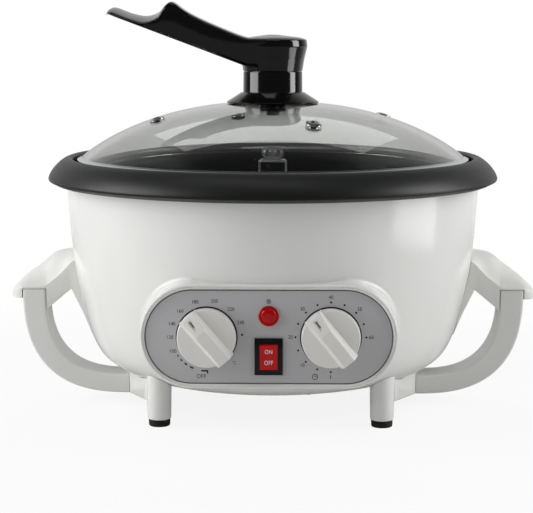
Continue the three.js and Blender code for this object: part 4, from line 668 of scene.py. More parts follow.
# %% Foot, neck and washer
FOOT_RADIUS, FOOT_TOP_RADIUS, FOOT_TOP_Z, NECK_RADIUS, NECK_TOP_Z = 34, 23.4, 230.7, 21.6, 245.7
SPIGOT_RADIUS, SPIGOT_STEP = 19, 0.25  # a low step on the neck closes the seam under the hub
STEM_RADIUS, STEM_END_Z, SCREW_BORE, CORE_RADIUS = 4.6, 214.7, 2.8, 12.3
dome_top, foot_edge = glass_top(0), glass_top(FOOT_RADIUS) + FIT
spigot_top, core_z = NECK_TOP_Z + SPIGOT_STEP, dome_top + 1.6
neck_outline = filleted([
    (SCREW_BORE, STEM_END_Z, 0.2), (STEM_RADIUS, STEM_END_Z, 0.3), (STEM_RADIUS, core_z, 0),
    (CORE_RADIUS, core_z, 0.3), (FOOT_RADIUS - 0.4, foot_edge + 0.2, 0.1),
    (FOOT_RADIUS, foot_edge + 0.9, 0.3), (FOOT_TOP_RADIUS, FOOT_TOP_Z - 0.4, 0.7),
    (NECK_RADIUS + 0.2, FOOT_TOP_Z, 0.4), (NECK_RADIUS, NECK_TOP_Z, 0.5),
    (SPIGOT_RADIUS, NECK_TOP_Z, 0), (SPIGOT_RADIUS, spigot_top, 0.05),
    (SCREW_BORE, spigot_top, 0)], 4)
neck = smooth(turned("knob_foot_and_neck", neck_outline, 96), 24)
dressed(neck, "lid", "black_gloss", phenolic, "lid_knob_neck")
WASHER_IN, WASHER_OUT, washer_z = 5, 12, dome_top + FIT
washer = turned("seal_washer", filleted([
    (WASHER_IN, washer_z, 0.2), (WASHER_OUT, washer_z, 0.3), (WASHER_OUT, washer_z + 1, 0.3),
    (WASHER_IN, washer_z + 1, 0.2)]), 48)
dressed(smooth(washer), "lid", "rubber", rubber, "lid_knob_washer")

# %% Castellated nut under the glass
NUT_LOBES, LOBE_POINTS, NUT_RADIUS, NUT_CORE, NUT_HEIGHT, NUT_BORE = 8, 12, 9.3, 7.6, 4.5, 4.9
nut_top = dome_z(0, GLASS_RADIUS - GLASS, SHOULDER_Z - GLASS) - 0.7
nut_ring = []
for k in range(NUT_LOBES * LOBE_POINTS):
    turn = 2 * math.pi * k / LOBE_POINTS
    lobe = min(max(math.cos(turn) * 1.8 + 0.5, 0), 1)
    reach = NUT_CORE + (NUT_RADIUS - NUT_CORE) * lobe
    nut_ring.append((reach * math.cos(turn / NUT_LOBES), reach * math.sin(turn / NUT_LOBES)))
nut = eased(plate("castellated_nut", nut_ring, nut_top - NUT_HEIGHT, nut_top, "Z"), 0.35)
combined(nut, rod("stem_drill", NUT_BORE, 60, (0, 0, nut_top)), "DIFFERENCE")
dressed(smooth(nut), "lid", "black_matte", matt_black, "lid_knob_nut")

# %% Lever and hub
HUB_BOTTOM, HUB_WAIST, HUB_WAIST_Z, HUB_RADIUS, HUB_WIDEST_Z = 21.8, 23.2, 254.8, 25.4, 263.7
HUB_TOP_Z, HUB_CROWN_Z, HUB_STEP = 271, 272.4, 0.9
LEVER_REACH, LEVER_RISE, LEVER_HALF, REST_LEAN = 121.8, 25.6, 15, 5.5
LEVER_CROWN, UPPER_ROUND, LOWER_ROUND, THINNEST = 0.8, 2.2, 3, 2.6
UNDER_ROOT, UNDER_TIP = (23.5, 251.2), (118.5, 286.5)
# (share of the reach, share of the rise) of the top edge, from the hub to the tip
LEVER_TOP = [(0, 0), (0.1, 0.005), (0.165, 0.02), (0.31, 0.265), (0.46, 0.58), (0.535, 0.785),
             (0.575, 0.93), (0.61, 1), (0.65, 0.93), (0.7, 0.72), (0.772, 0.625), (0.86, 0.71),
             (0.91, 0.8), (0.955, 0.87), (0.985, 0.82), (1, 0.7)]
# (share of the reach, share of the half width) seen from above
LEVER_PLAN = [(0, 1.6), (0.035, 1.64), (0.2, 1.42), (0.37, 1.19), (0.5, 1.04), (0.7, 1),
              (0.9, 0.96), (0.95, 0.86), (0.98, 0.66), (0.993, 0.42), (1, 0.16)]
hub_low, hub_edge = NECK_TOP_Z + FIT, HUB_TOP_Z - HUB_STEP
hub_outline = filleted([
    (0, hub_low, 0), (HUB_BOTTOM, hub_low, 0.4), (HUB_WAIST, HUB_WAIST_Z, 6),
    (HUB_RADIUS, HUB_WIDEST_Z, 6), (HUB_RADIUS - 0.6, HUB_TOP_Z - 2.2, 1.8),
    (HUB_RADIUS - 4.4, hub_edge, 0.5), (HUB_RADIUS - 6.4, HUB_TOP_Z - 0.5, 3),
    (11, HUB_CROWN_Z - 0.9, 8), (4, HUB_CROWN_Z, 6), (0, HUB_CROWN_Z, 0)], 5)
hub = turned("hub", hub_outline, 96)


def along(table, share):
    """Read a curve given as (share, value) stations."""
    for (low, low_value), (high, high_value) in zip(table, table[1:]):
        if low <= share <= high:
            return low_value + (high_value - low_value) * (share - low) / (high - low)
    return table[-1][1]


def lever_ring(x, half, top, under, lean, draw):
    """Section of the lever: a crowned top that leans to the front, and sides drawn in."""
    def arc(y, z, radius, first):
        turns = [math.radians(first + 22.5 * k) for k in range(5)]
        return [(y + radius * math.cos(turn), z + radius * math.sin(turn)) for turn in turns]
    limits = half * 0.9, (top - under) * 0.45
    upper, lower = min(UPPER_ROUND, *limits), min(LOWER_ROUND, *limits)
    flat, base = half - upper, half - draw - lower
    ring = [(flat * (k / 4 - 1), top) for k in range(7, 0, -1)]
    ring += arc(-flat, top - upper, upper, 90) + arc(-base, under + lower, lower, 180)
    ring += arc(base, under + lower, lower, 270) + arc(flat, top - upper, upper, 0)
    section = []
    for y, z in ring:
        drop = LEVER_CROWN * (y / half) ** 2 + lean * (1 - y / half) / 2
        section.append((x, y, z - drop * (z - under) / (top - under)))
    return section


# %% Lever wrapped round its stations
LEVER_STEPS, INSIDE_HUB, TIP_SHARE, TIP_LENGTH, TIP_STEPS = 60, 2, 0.96, 0.039, 8
ROOT_BLEND, REST_START, REST_BLEND, DRAW, ROOT_DRAW, DRAW_END = 0.3, 0.6, 0.1, 0.8, 3.6, 0.35
lever_top, lever_plan = through(LEVER_TOP, 4), through(LEVER_PLAN, 6)
under_slope = (UNDER_TIP[1] - UNDER_ROOT[1]) / (UNDER_TIP[0] - UNDER_ROOT[0])
lever_shares = [k / LEVER_STEPS for k in range(-INSIDE_HUB, LEVER_STEPS - 2)]
for k in range(TIP_STEPS):
    turn = (k + 0.4) / (TIP_STEPS - 0.6) * math.pi / 2
    lever_shares.append(TIP_SHARE + TIP_LENGTH * math.sin(turn))
lever_rings = []
for share in lever_shares:
    reach, ahead = LEVER_REACH * share, max(share, 0)
    top = hub_edge + LEVER_RISE * along(lever_top, ahead) + HUB_STEP * min(share / ROOT_BLEND, 1)
    under = UNDER_ROOT[1] + under_slope * max(reach - UNDER_ROOT[0], -6)
    under = min(under, top - THINNEST)
    # the thumb rest near the tip is a scoop that leans towards the user
    scoop = min(max((share - REST_START) / REST_BLEND, 0), 1)
    lean = min(REST_LEAN * scoop ** 2 * (3 - 2 * scoop), 0.6 * (top - under))
    half = LEVER_HALF * along(lever_plan, ahead)
    draw = DRAW + ROOT_DRAW * max(0, 1 - ahead / DRAW_END)
    lever_rings.append(lever_ring(-reach, half, top, under, lean, draw))
lever = combined(wrapped("lever", lever_rings), hub, "UNION")
lever.name = "lever_and_hub"
dressed(smooth(lever, 38), "lid", "black_gloss", phenolic, "lid_lever_handle")

# %% [markdown]
# ## The side handles
# Each handle has a grey curved grip, a white thumb plate whose arm reaches back to the bowl, and a
# white bracket under the floor. A bevelled curve would keep one section all along, so the grip is
# wrapped round sections that follow two superellipses and get thicker towards the top. The section
# has soft corners and faintly crowned faces, as the mould leaves them.

# %% Handle measures
GRIP_ROOT, GRIP_TOP_Z, HALF_DEPTH = 107, 85.2, 15
GRIP_OUTER, GRIP_INNER = (78.6, 78.2, 2.6), (61.4, 63.9, 2.8)
THUMB_TIP, THUMB_TIP_RADIUS, THUMB_ROOT, THUMB_RIDGE_Z = 194.4, 11, 133, 115.6
SIDES = ((-1, "left"), (1, "right"))
print("grip depth:", 2 * HALF_DEPTH, "width over the thumb plates:", 2 * THUMB_TIP)


def on_side(side, rings):
    """The same rings on the left (-1) or on the right (1) of the roaster."""
    return [[(side * x, y, z) for x, y, z in ring] for ring in rings]


def grip_point(curve, turn):
    """A point of one of the grip's curves, from its top end to its lower end."""
    reach, drop, exponent = curve
    return Vector((GRIP_ROOT + reach * max(math.cos(turn), 0) ** (2 / exponent),
                   GRIP_TOP_Z - drop * max(math.sin(turn), 0) ** (2 / exponent)))


def rounded_section(corner, count):
    """Corners of a unit square with round corners, as (across, along) from -1 to 1."""
    ring = []
    for k in range(count):
        turn = 2 * math.pi * (k + 0.5) / count
        across, up = math.cos(turn), math.sin(turn)
        ring.append((math.copysign(abs(across) ** corner, across),
                     math.copysign(abs(up) ** corner, up)))
    return ring


# %% Grips
GRIP_STEPS, GRIP_CORNER, GRIP_POINTS, FACE_CROWN = 40, 0.14, 52, 0.02
SOCKET_SWELL, SOCKET_STEPS = 0.03, 8
grip_rings = []
for k in range(GRIP_STEPS + 1):
    turn = math.pi / 2 * k / GRIP_STEPS
    outside, inside = grip_point(GRIP_OUTER, turn), grip_point(GRIP_INNER, turn)
    middle, half = (outside + inside) / 2, (outside - inside) / 2
    # the top end swells a little, where it sits in the thumb plate
    swell = 1 + SOCKET_SWELL * max(0, 1 - k / SOCKET_STEPS)
    ring = []
    for across, thick in rounded_section(GRIP_CORNER, GRIP_POINTS):
        spot = middle + half * thick * swell * (1 - FACE_CROWN * across ** 2)
        ring.append((spot.x, HALF_DEPTH * across, spot.y))
    grip_rings.append(ring)
for side, name in SIDES:
    grip = smooth(wrapped(f"grip_{name}", on_side(side, grip_rings)), 40)
    dressed(grip, "base", "grey_grip", grey_grip, f"handle_{name}_grip")

# %% [markdown]
# The thumb plate is a crowned bar. Its sections are a flat underside with soft lower edges, upright
# sides and a crowned top, and the stations follow the ridge from the bowl down to the rounded tip.
# The part of it inside the bowl is cut away with a filled bowl that is 0.3 mm too large.

# %% Thumb plates
# (share of the way from the bowl to the tip, share of the height at the ridge, and at the edge)
THUMB_TOP = [(0, 1, 0.8), (0.216, 0.966, 0.742), (0.317, 0.95, 0.55), (0.418, 0.912, 0.34),
             (0.503, 0.834, 0.21), (0.587, 0.69, 0.08), (0.689, 0.528, 0.045), (0.79, 0.378, 0.038),
             (0.89, 0.205, 0.034), (1, -0.02, -0.06)]
ARM_UNDER = [(133, 52), (134.2, 52), (140.6, 67.5), (149.3, 85.6), (167.8, 70.2), (167.81, 85.5),
             (185.9, 85.5), (185.91, 78.5), (194.4, 78.5)]
THUMB_STATIONS = [133, 134.2, 136, 138, 140.6, 143, 146, 149.3, 152, 155, 158, 161, 164.5, 167.8,
                  167.81, 170, 173, 176, 179, 182, 184, 185.9, 185.91, 187, 188.5, 190, 191.3,
                  192.4, 193.3, 193.9, 194.25]
CROWN_POWER, CROWN_STEPS, EDGE_ROUND, SIDE_DRAFT, TIP_INSET, TIP_ROUND = 1.7, 8, 1.3, 0.02, 0.9, 2
over_grip = GRIP_TOP_Z + FIT
rise = THUMB_RIDGE_Z - over_grip
ridge_curve = through([(x, ridge) for x, ridge, edge in THUMB_TOP], 4)
edge_curve = through([(x, edge) for x, ridge, edge in THUMB_TOP], 4)
thumb_rings = []
for x in THUMB_STATIONS:
    share = (x - THUMB_ROOT) / (THUMB_TIP - THUMB_ROOT)
    under = along(ARM_UNDER, x)
    edge_z = max(over_grip + rise * along(edge_curve, share), under + 1.2)
    ridge_z = max(over_grip + rise * along(ridge_curve, share), edge_z + 0.4)
    past = max(x - (THUMB_TIP - THUMB_TIP_RADIUS), 0)
    half = HALF_DEPTH - THUMB_TIP_RADIUS + math.sqrt(THUMB_TIP_RADIUS ** 2 - past ** 2)
    inset = TIP_INSET * max((x - THUMB_TIP) / TIP_ROUND + 1, 0)
    crown = []
    for k in range(-CROWN_STEPS, CROWN_STEPS + 1):
        y = k / CROWN_STEPS
        crown.append((half * y * (1 - SIDE_DRAFT * abs(y)),
                      edge_z + (ridge_z - edge_z) * (1 - abs(y) ** CROWN_POWER) - inset))
    side_top, side_low = crown[-1][1], under + inset
    soft = min(EDGE_ROUND, (side_top - side_low) * 0.4)
    right = [(half, side_top - 0.3 * soft), (half, side_top - soft), (half, side_low + soft),
             (half - 0.3 * soft, side_low + 0.3 * soft), (half - soft, side_low)]
    left = [(-y, z) for y, z in reversed(right)]
    thumb_rings.append([(x, y, z) for y, z in [*crown, *right, *left]])
for side, name in SIDES:
    thumb = wrapped(f"thumb_plate_{name}", on_side(side, thumb_rings))
    combined(thumb, bowl_tool("bowl_tool", FIT), "DIFFERENCE")
    dressed(smooth(thumb, 32), "base", "white_shell", satin_white, f"handle_{name}_top")

# %% [markdown]
# ## Legs, feet and the brackets under the floor
# The legs are tapered posts cut to the bowl's curve, each with a rubber foot on a stud. One leg and
# one foot are turned and then copied, each copy with a mesh of its own. The bracket reaches from
# the grip's lower end to two legs. It is a flat outline whose underside rises towards the legs,
# with a screw on each side of the grip.

# %% Legs and feet
LEG_X, LEG_Y, LEG_TOP, LEG_BOTTOM, LEG_Z, FOOT_BOTTOM, FOOT_HEIGHT = 78.2, 85, 9.2, 8.2, 5, 7.6, 4.7
STUD, SOCKET, STUD_SHOULDER, STUD_BORE, POST_TOP = 4.5, 4.8, 19, 2.3, 60
leg_places = {"front_left": (-1, -1), "front_right": (1, -1), "rear_left": (-1, 1),
              "rear_right": (1, 1)}
leg_model = turned("leg_model", filleted([
    (SOCKET, STUD_SHOULDER, 0), (SOCKET, LEG_Z, 0.2), (LEG_BOTTOM, LEG_Z, 0.9),
    (LEG_TOP, POST_TOP, 0), (STUD_BORE, POST_TOP, 0), (STUD_BORE, STUD_SHOULDER, 0)], 5), 64)
foot_model = turned("foot_model", filleted([
    (0, 0, 0), (FOOT_BOTTOM - 0.3, 0, 0.9), (FOOT_BOTTOM, 2.2, 0.3), (FOOT_BOTTOM - 0.25, 2.6, 0.2),
    (FOOT_BOTTOM, 3, 0.3), (FOOT_BOTTOM, FOOT_HEIGHT, 0.5), (STUD, FOOT_HEIGHT, 0),
    (STUD, STUD_SHOULDER - 0.4, 0), (STUD_BORE - FIT, STUD_SHOULDER - 0.4, 0),
    (STUD_BORE - FIT, POST_TOP, 0), (0, POST_TOP, 0)], 4), 56)
for name, (x, y) in leg_places.items():
    place = moved(x * LEG_X, y * LEG_Y)
    leg = copied(leg_model, f"tapered_leg_{name}", place)
    combined(leg, bowl_tool("bowl_tool", FIT), "DIFFERENCE")
    dressed(smooth(leg), "base", "white_shell", white_shell, f"leg_{name}")
    foot = copied(foot_model, f"rubber_foot_{name}", place)
    dressed(smooth(foot), "base", "rubber", rubber, f"foot_{name}")
bpy.data.objects.remove(leg_model)
bpy.data.objects.remove(foot_model)

# %% Brackets and their screws
BRACKET_LOW, BRACKET_LEG_LOW = 7.2, 16.5
BRACKET_HALF = [(106.7, 15, 2), (88, 80, 3), (71, 74, 3), (84, 24, 8)]
bracket_plan = [*BRACKET_HALF, *[(x, -y, r) for x, y, r in reversed(BRACKET_HALF)]]
SCREW_X, SCREW_Y, SCREW_SEAT, SEAT_RADIUS, UNDER_BOWL = 89, 16, 14, 3.9, 36


def bracket_low(y):
    """Height of the bracket's underside, which rises from the grip to the legs."""
    share = max(abs(y) - HALF_DEPTH, 0) / (BRACKET_HALF[1][1] - HALF_DEPTH)
    return BRACKET_LOW + (BRACKET_LEG_LOW - BRACKET_LOW) * share


def subdivided(outline, longest=6):
    """The same outline with its long stretches divided."""
    points = []
    for (x, y), (next_x, next_y) in zip(outline, [*outline[1:], outline[0]]):
        parts = max(1, round(math.dist((x, y), (next_x, next_y)) / longest))
        points += [(x + (next_x - x) * k / parts, y + (next_y - y) * k / parts)
                   for k in range(parts)]
    return points


def pan_head(name, radius, height):
    """A pan-head screw with a cross recess, its seat at the origin and its head below."""
    shank, shank_end = radius * 0.5, height * 1.5
    head = turned(name, filleted([
        (0, -height, 0), (radius * 0.8, -height, height * 0.5),
        (radius, -height * 0.3, height * 0.2), (radius, 0, 0), (shank, 0, 0),
        (shank, shank_end, 0), (0, shank_end, 0)], 4), 32)
    for wide, long in ((0.22, 1.1), (1.1, 0.22)):
        slot = block("slot", (wide * radius, long * radius, height * 0.9), (0, 0, -height))
        combined(head, slot, "DIFFERENCE")
    return head


for side, name in SIDES:
    outline = subdivided(filleted([(side * x, y, r) for x, y, r in bracket_plan], 4))
    bracket = wrapped(f"floor_bracket_{name}", [[(x, y, bracket_low(y)) for x, y in outline],
                                                [(x, y, UNDER_BOWL) for x, y in outline]])
    eased(bracket, 1.0, 3, 50)
    combined(bracket, bowl_tool("bowl_tool", FIT), "DIFFERENCE")
    for y in (-1, 1):
        post = rod("leg_clearance", LEG_TOP + FIT, POST_TOP, (side * LEG_X, y * LEG_Y, 20), 48)
        combined(bracket, post, "DIFFERENCE")
        seat = rod("seat", SEAT_RADIUS, SCREW_SEAT * 2, (side * SCREW_X, y * SCREW_Y, 0))
        combined(bracket, seat, "DIFFERENCE")
    dressed(smooth(bracket), "base", "white_shell", white_shell, f"handle_{name}_bracket")
    for y, end in ((-1, "front"), (1, "rear")):
        screw = placed(pan_head(f"bracket_screw_{name}_{end}", 3.4, 2.4),
                       moved(side * SCREW_X, y * SCREW_Y, SCREW_SEAT - 0.2))
        dressed(smooth(screw), "base", "steel", steel)

# %% [markdown]
# ## The control panel
# A thin aluminium label fills the cowl's seat. Its figures, dots and pictograms are screen printed.
# An image could carry them, but flat text turned to mesh, a tenth of a millimetre thick, stays
# sharp however near the camera comes. Two knobs, a neon and a rocker stand on the label.

# %% Label
PRINT, LABEL_SHEET = 0.1, 1.5
label = eased(plate("panel_label", panel_edge(), PANEL_Y, PANEL_Y + LABEL_SHEET), 0.3, 2, 50)
dressed(smooth(label), "base", "silver_panel", silver_label, "control_panel")

# %% Knobs
KNOB_X, KNOB_RADIUS, KNOB_DISC, KNOB_GRIP = 40.9, 19.6, 7, 7
BAR_BASE, BAR_CREST, RAMP_START, RAMP_END_Z, RAMP_TILT, KNOB_GAP = 6.75, 4, 5.5, 10, -14, 1
bar_top = KNOB_DISC + KNOB_GRIP
knob_outline = filleted([(0, 0, 0), (KNOB_RADIUS - 0.2, 0, 0.3), (KNOB_RADIUS, 1.2, 0.4),
                         (KNOB_RADIUS - 0.35, KNOB_DISC, 0.9), (0, KNOB_DISC, 0)], 5)


def bar_section(y, top):
    """Section of the knob's grip bar: wide at its foot, narrower and softly rounded on top."""
    crest = BAR_BASE + (BAR_CREST - BAR_BASE) * (top - KNOB_DISC) / KNOB_GRIP
    corners = [(-BAR_BASE - 0.2, 3, 0), (BAR_BASE + 0.2, 3, 0), (BAR_BASE, KNOB_DISC + 0.2, 0.2),
               (crest, top, 0.7), (-crest, top, 0.7), (-BAR_BASE, KNOB_DISC + 0.2, 0.2)]
    return [(x, y, z) for x, z in filleted(corners, 4)]


def face_front(x, z, y, degrees):
    """Turn a piece that faces up so that it faces the front, and clockwise by an angle."""
    return (moved(x, y, z) @ Matrix.Rotation(math.radians(degrees), 4, "Y")
            @ Matrix.Rotation(math.pi / 2, 4, "X"))


for name, x, degrees in (("temperature", -KNOB_X, -41), ("timer", KNOB_X, -39)):
    disc = turned("disc", knob_outline, 96)
    tail, nose = FIT - KNOB_RADIUS, KNOB_RADIUS - 0.5
    stations = [(tail, bar_top - 0.4), (tail + 0.5, bar_top - 0.1), (tail + 1.3, bar_top),
                (RAMP_START - 0.5, bar_top), (RAMP_START + 0.3, bar_top - 0.1),
                (RAMP_START + 1, bar_top - 0.4), (nose - 0.6, RAMP_END_Z + 0.4), (nose, RAMP_END_Z)]
    bar = wrapped("bar", [bar_section(y, top) for y, top in stations])
    combined(bar, block("groove", (2.4, 7.2, 1.9), (0, 13.2, 12.1), RAMP_TILT), "DIFFERENCE")
    place = face_front(x, PANEL_Z, PANEL_Y - KNOB_GAP, degrees)
    knob = placed(combined(disc, bar, "UNION"), place)
    knob.name = f"{name}_dial_knob"
    dressed(smooth(knob, 30), f"{name}_control", "ivory", ivory_knob, f"{name}_knob")
    paint = block(f"{name}_pointer", (0.7, 4.6, 0.3), (0, 13.4, 11.25), RAMP_TILT)
    placed(eased(paint, 0.1), place)
    dressed(smooth(paint), f"{name}_control", "black_matte", ink_and_painted_shade)

# %% Neon lamp
LAMP_Z, LAMP_RADIUS = 90, 6.8
lamp_outline = filleted([(0, 0, 0), (LAMP_RADIUS, 0, 0.2), (LAMP_RADIUS, 1.6, 0.6),
                         (LAMP_RADIUS - 1, 2.2, 0.5), (LAMP_RADIUS - 1.5, 1.7, 0.3),
                         (LAMP_RADIUS - 2.1, 2.6, 0.8), (2.6, 3.6, 1.6), (0, 3.8, 0)], 5)
lamp = placed(turned("neon_cap", lamp_outline, 64), face_front(0, LAMP_Z, PANEL_Y, 0))
dressed(smooth(lamp), "base", "red_gloss", lamp_red, "indicator_lamp")

# %% Rocker switch
ROCKER_Z, ROCKER_WIDE, ROCKER_TALL, BEZEL_WIDE, BEZEL_TALL = 62.8, 11.9, 17, 18.6, 24.6
BEZEL_DEPTH, BEZEL_BEVEL, BEZEL_FRAME, WELL_DEPTH = 2.1, 0.9, 2.1, 1.9
bezel = block("switch_bezel", (BEZEL_WIDE, BEZEL_DEPTH, BEZEL_TALL), (0, PANEL_Y - 0.75, ROCKER_Z))
edited(bezel, lambda: pick(lambda middle, normal: normal.y < -0.9),
       lambda: bpy.ops.mesh.inset(thickness=BEZEL_BEVEL * MM),
       lambda: bpy.ops.transform.translate(value=(0, -0.3 * MM, 0)),
       lambda: bpy.ops.mesh.inset(thickness=BEZEL_FRAME * MM),
       lambda: bpy.ops.mesh.extrude_region_move(
           TRANSFORM_OT_translate={"value": (0, WELL_DEPTH * MM, 0)}))
dressed(smooth(eased(bezel, 0.25, 2)), "base", "black_matte", bezel_black, "rocker_frame")

# %% Rocker button
ROCKER_TILT, ROCKER_PROUD, ROCKER_HOLLOW, ROCKER_BACK = 7, 1.8, 0.55, 1.2
half_tall = ROCKER_TALL / 2
rocker_tip = ROCKER_PROUD + half_tall * math.tan(math.radians(ROCKER_TILT))
rocker_side = [(-rocker_tip, -half_tall), (ROCKER_HOLLOW - rocker_tip, -4.2), (-ROCKER_PROUD, 0),
               (ROCKER_HOLLOW - rocker_tip, 4.2), (-rocker_tip, half_tall),
               (ROCKER_BACK, half_tall), (6, 2), (6, -2), (ROCKER_BACK, -half_tall)]
rocker = eased(plate("switch_rocker", rocker_side, -ROCKER_WIDE / 2, ROCKER_WIDE / 2, "X"), 0.45, 3)
rocker_turn = Matrix.Rotation(math.radians(ROCKER_TILT), 4, "X")
rocker_place = moved(0, PANEL_Y - 0.3, ROCKER_Z) @ rocker_turn
placed(rocker, rocker_place)
dressed(smooth(rocker), "power_rocker", "red_gloss", switch_red, "rocker_button")

# %% [markdown]
# Lettering stays plain: figures on the two dials, OFF beside the temperature scale, and ON and OFF
# on the rocker. Small pictograms of a lamp and of a clock mark the neon and the timer.

# %% Print
def printed(words, size, x, z, y=PANEL_Y, tilt=0, narrow=0.86):
    """Flat text on the panel, centred on a place and drawn in a little, turned to mesh."""
    bpy.ops.object.select_all(action="DESELECT")
    bpy.ops.object.text_add()
    text = bpy.context.object
    text.data.body = words
    text.data.size = size * MM
    text.data.align_x, text.data.align_y = "CENTER", "CENTER"
    text.data.extrude = PRINT / 2 * MM
    text.data.space_character = 1.08
    bpy.ops.object.convert(target="MESH")
    return placed(text, moved(x, y, z)
                  @ Matrix.Rotation(math.radians(90 + tilt), 4, "X")
                  @ Matrix.Diagonal((narrow, 1, 1, 1)))


def mark(x, z, wide, tall, degrees=0):
    """A printed bar, or a dot where both sides are equal."""
    sides, radius, turn = (20, 0.5, 0) if wide == tall else (4, math.sqrt(0.5), math.pi / 4)
    shape = rooted(start("cylinder", "mark", vertices=sides, radius=radius * MM,
                         depth=PRINT * MM, rotation=(0, 0, turn)))
    return placed(shape, moved(x, PANEL_Y, z) @ Matrix.Rotation(math.radians(degrees), 4, "Y")
                  @ Matrix.Diagonal((wide, 1, tall, 1)) @ Matrix.Rotation(math.pi / 2, 4, "X"))


def on_dial(centre, radius, degrees):
    """A place at a clockwise angle from the top of a dial."""
    turn = math.radians(degrees)
    return centre + radius * math.sin(turn), PANEL_Z + radius * math.cos(turn)


# %% Dial scales
FIGURE, HEAT_RING, MINUTE_RING, DOT_RING, DOT, SCALE_LOW = 3.5, 24.4, 26.6, 23.3, 1.4, 26.6
TEMPERATURES = {100: 246.5, 120: 269, 140: 290.4, 160: 314.4, 180: 342, 200: 12.5, 220: 41,
                240: 67}
MINUTES = {10: 225, 20: 270, 30: 315, 40: 0, 50: 45, 60: 90}
WEDGE_TURNS, WEDGE_RING, WEDGE_TALL = (236, 227, 217, 206), 22.9, 0.95
panel_marks = [printed(str(heat), FIGURE, *on_dial(-KNOB_X, HEAT_RING, turn))
          for heat, turn in TEMPERATURES.items()]
panel_marks += [printed("°C", FIGURE * 0.9, *on_dial(-KNOB_X, 25, 134)),
           printed("OFF", FIGURE * 1.15, -KNOB_X - 3.6, PANEL_Z - SCALE_LOW),
           mark(*on_dial(-KNOB_X, 23.4, 86.5), 1.5, 1.5)]
# the scale from OFF to the lowest heat is a row of bars that get longer, and a hook over OFF
for k, turn in enumerate(WEDGE_TURNS):
    panel_marks.append(mark(*on_dial(-KNOB_X, WEDGE_RING, turn), 1.1 + 0.5 * k, WEDGE_TALL, turn - 180))
panel_marks += [mark(-KNOB_X - 1.4, PANEL_Z - 22.8, 4.6, 1), mark(-KNOB_X + 0.5, PANEL_Z - 23.6, 0.9, 2)]
for k in range(13):
    panel_marks.append(mark(*on_dial(KNOB_X, DOT_RING, 180 + 22.5 * k), DOT, DOT))
panel_marks += [printed(str(minute), FIGURE, *on_dial(KNOB_X, MINUTE_RING, turn))
           for minute, turn in MINUTES.items()]
panel_marks.append(mark(KNOB_X, PANEL_Z - SCALE_LOW, 0.55, 2.4))
print("prints on the label:", len(panel_marks))

# %% Painted shade round the label and the knobs, and pictograms of a lamp and a clock
LAMP_SIGN_Z, CLOCK_X, CLOCK_Z = 99.6, 30.6, 49.3


def frame_line(name, outside, inside):
    """A thin flat band between two closed outlines of equal count, seen from the front, used as
    painted shade.
    """
    low, high = PANEL_Y - PRINT / 2, PANEL_Y + PRINT / 2
    rows = [(outside, high), (outside, low), (inside, low), (inside, high), (outside, high)]
    return wrapped(name, [[(x, y, z) for x, z in outline] for outline, y in rows])


def circle(x, z, radius):
    """A round outline on the panel."""
    turns = [k * math.pi / 36 for k in range(72)]
    return [(x + radius * math.cos(turn), z + radius * math.sin(turn)) for turn in turns]


# painted shade: a dark line just inside the label's edge stands for the shade in the recess under
# the cowl's lip
panel_marks.append(frame_line("painted_shade_border_line", panel_edge(-0.1), panel_edge(-0.4)))
# painted shadow: a dark ring round each knob stands for the shadow in the gap between the knob and
# the label
for x in (-KNOB_X, KNOB_X):
    panel_marks.append(frame_line("painted_shadow_knob_ring", circle(x, PANEL_Z, KNOB_RADIUS + 0.8),
                             circle(x, PANEL_Z, KNOB_RADIUS - 0.2)))


def ring_sign(x, z, radius, width):
    """A printed ring."""
    shape = turned("ring_sign", [(radius - width, -PRINT / 2), (radius, -PRINT / 2),
                                 (radius, PRINT / 2), (radius - width, PRINT / 2)], 40)
    return placed(shape, face_front(x, z, PANEL_Y, 0))


panel_marks += [ring_sign(0, LAMP_SIGN_Z, 1.5, 0.4), mark(0, LAMP_SIGN_Z, 2.3, 0.35, 45),
           mark(0, LAMP_SIGN_Z, 2.3, 0.35, -45),
           ring_sign(CLOCK_X, CLOCK_Z, 2, 0.42), mark(CLOCK_X, CLOCK_Z + 0.55, 0.36, 1.4),
           mark(CLOCK_X + 0.5, CLOCK_Z, 1.2, 0.36)]
# the print layer also carries the painted shade lines round the label's edge and the knobs
print_and_shade_layer = one_piece("panel_print_and_painted_shade", *panel_marks)
dressed(print_and_shade_layer, "base", "black_matte", ink_and_painted_shade)

# %% Words on the rocker
WORD_SIZE, WORD_HEIGHT, WORD_NARROW = 4.1, 3.8, 0.78
rocker_slope = math.tan(math.radians(ROCKER_TILT))
switch_words = []
for words, side in (("ON", 1), ("OFF", -1)):
    face_y = -ROCKER_PROUD - WORD_HEIGHT * rocker_slope - 0.03
    spot = rocker_place @ Vector((0, face_y * MM, side * WORD_HEIGHT * MM)) / MM
    switch_words.append(printed(words, WORD_SIZE, 0, spot.z, spot.y,
                                ROCKER_TILT + side * ROCKER_TILT, WORD_NARROW))
dressed(one_piece("switch_words", *switch_words), "power_rocker", "white_shell", white_ink)

# %% [markdown]
# ## The stirrer
# A steel shaft comes up through the pan's column. Over it sits a sleeve with a fin, a bent steel
# bracket and an oval plate with two screws, and a paddle is riveted to each leg of the bracket.
# Bent and stamped sheet is an outline with a thickness, so `plate` and a fine bevel make it.

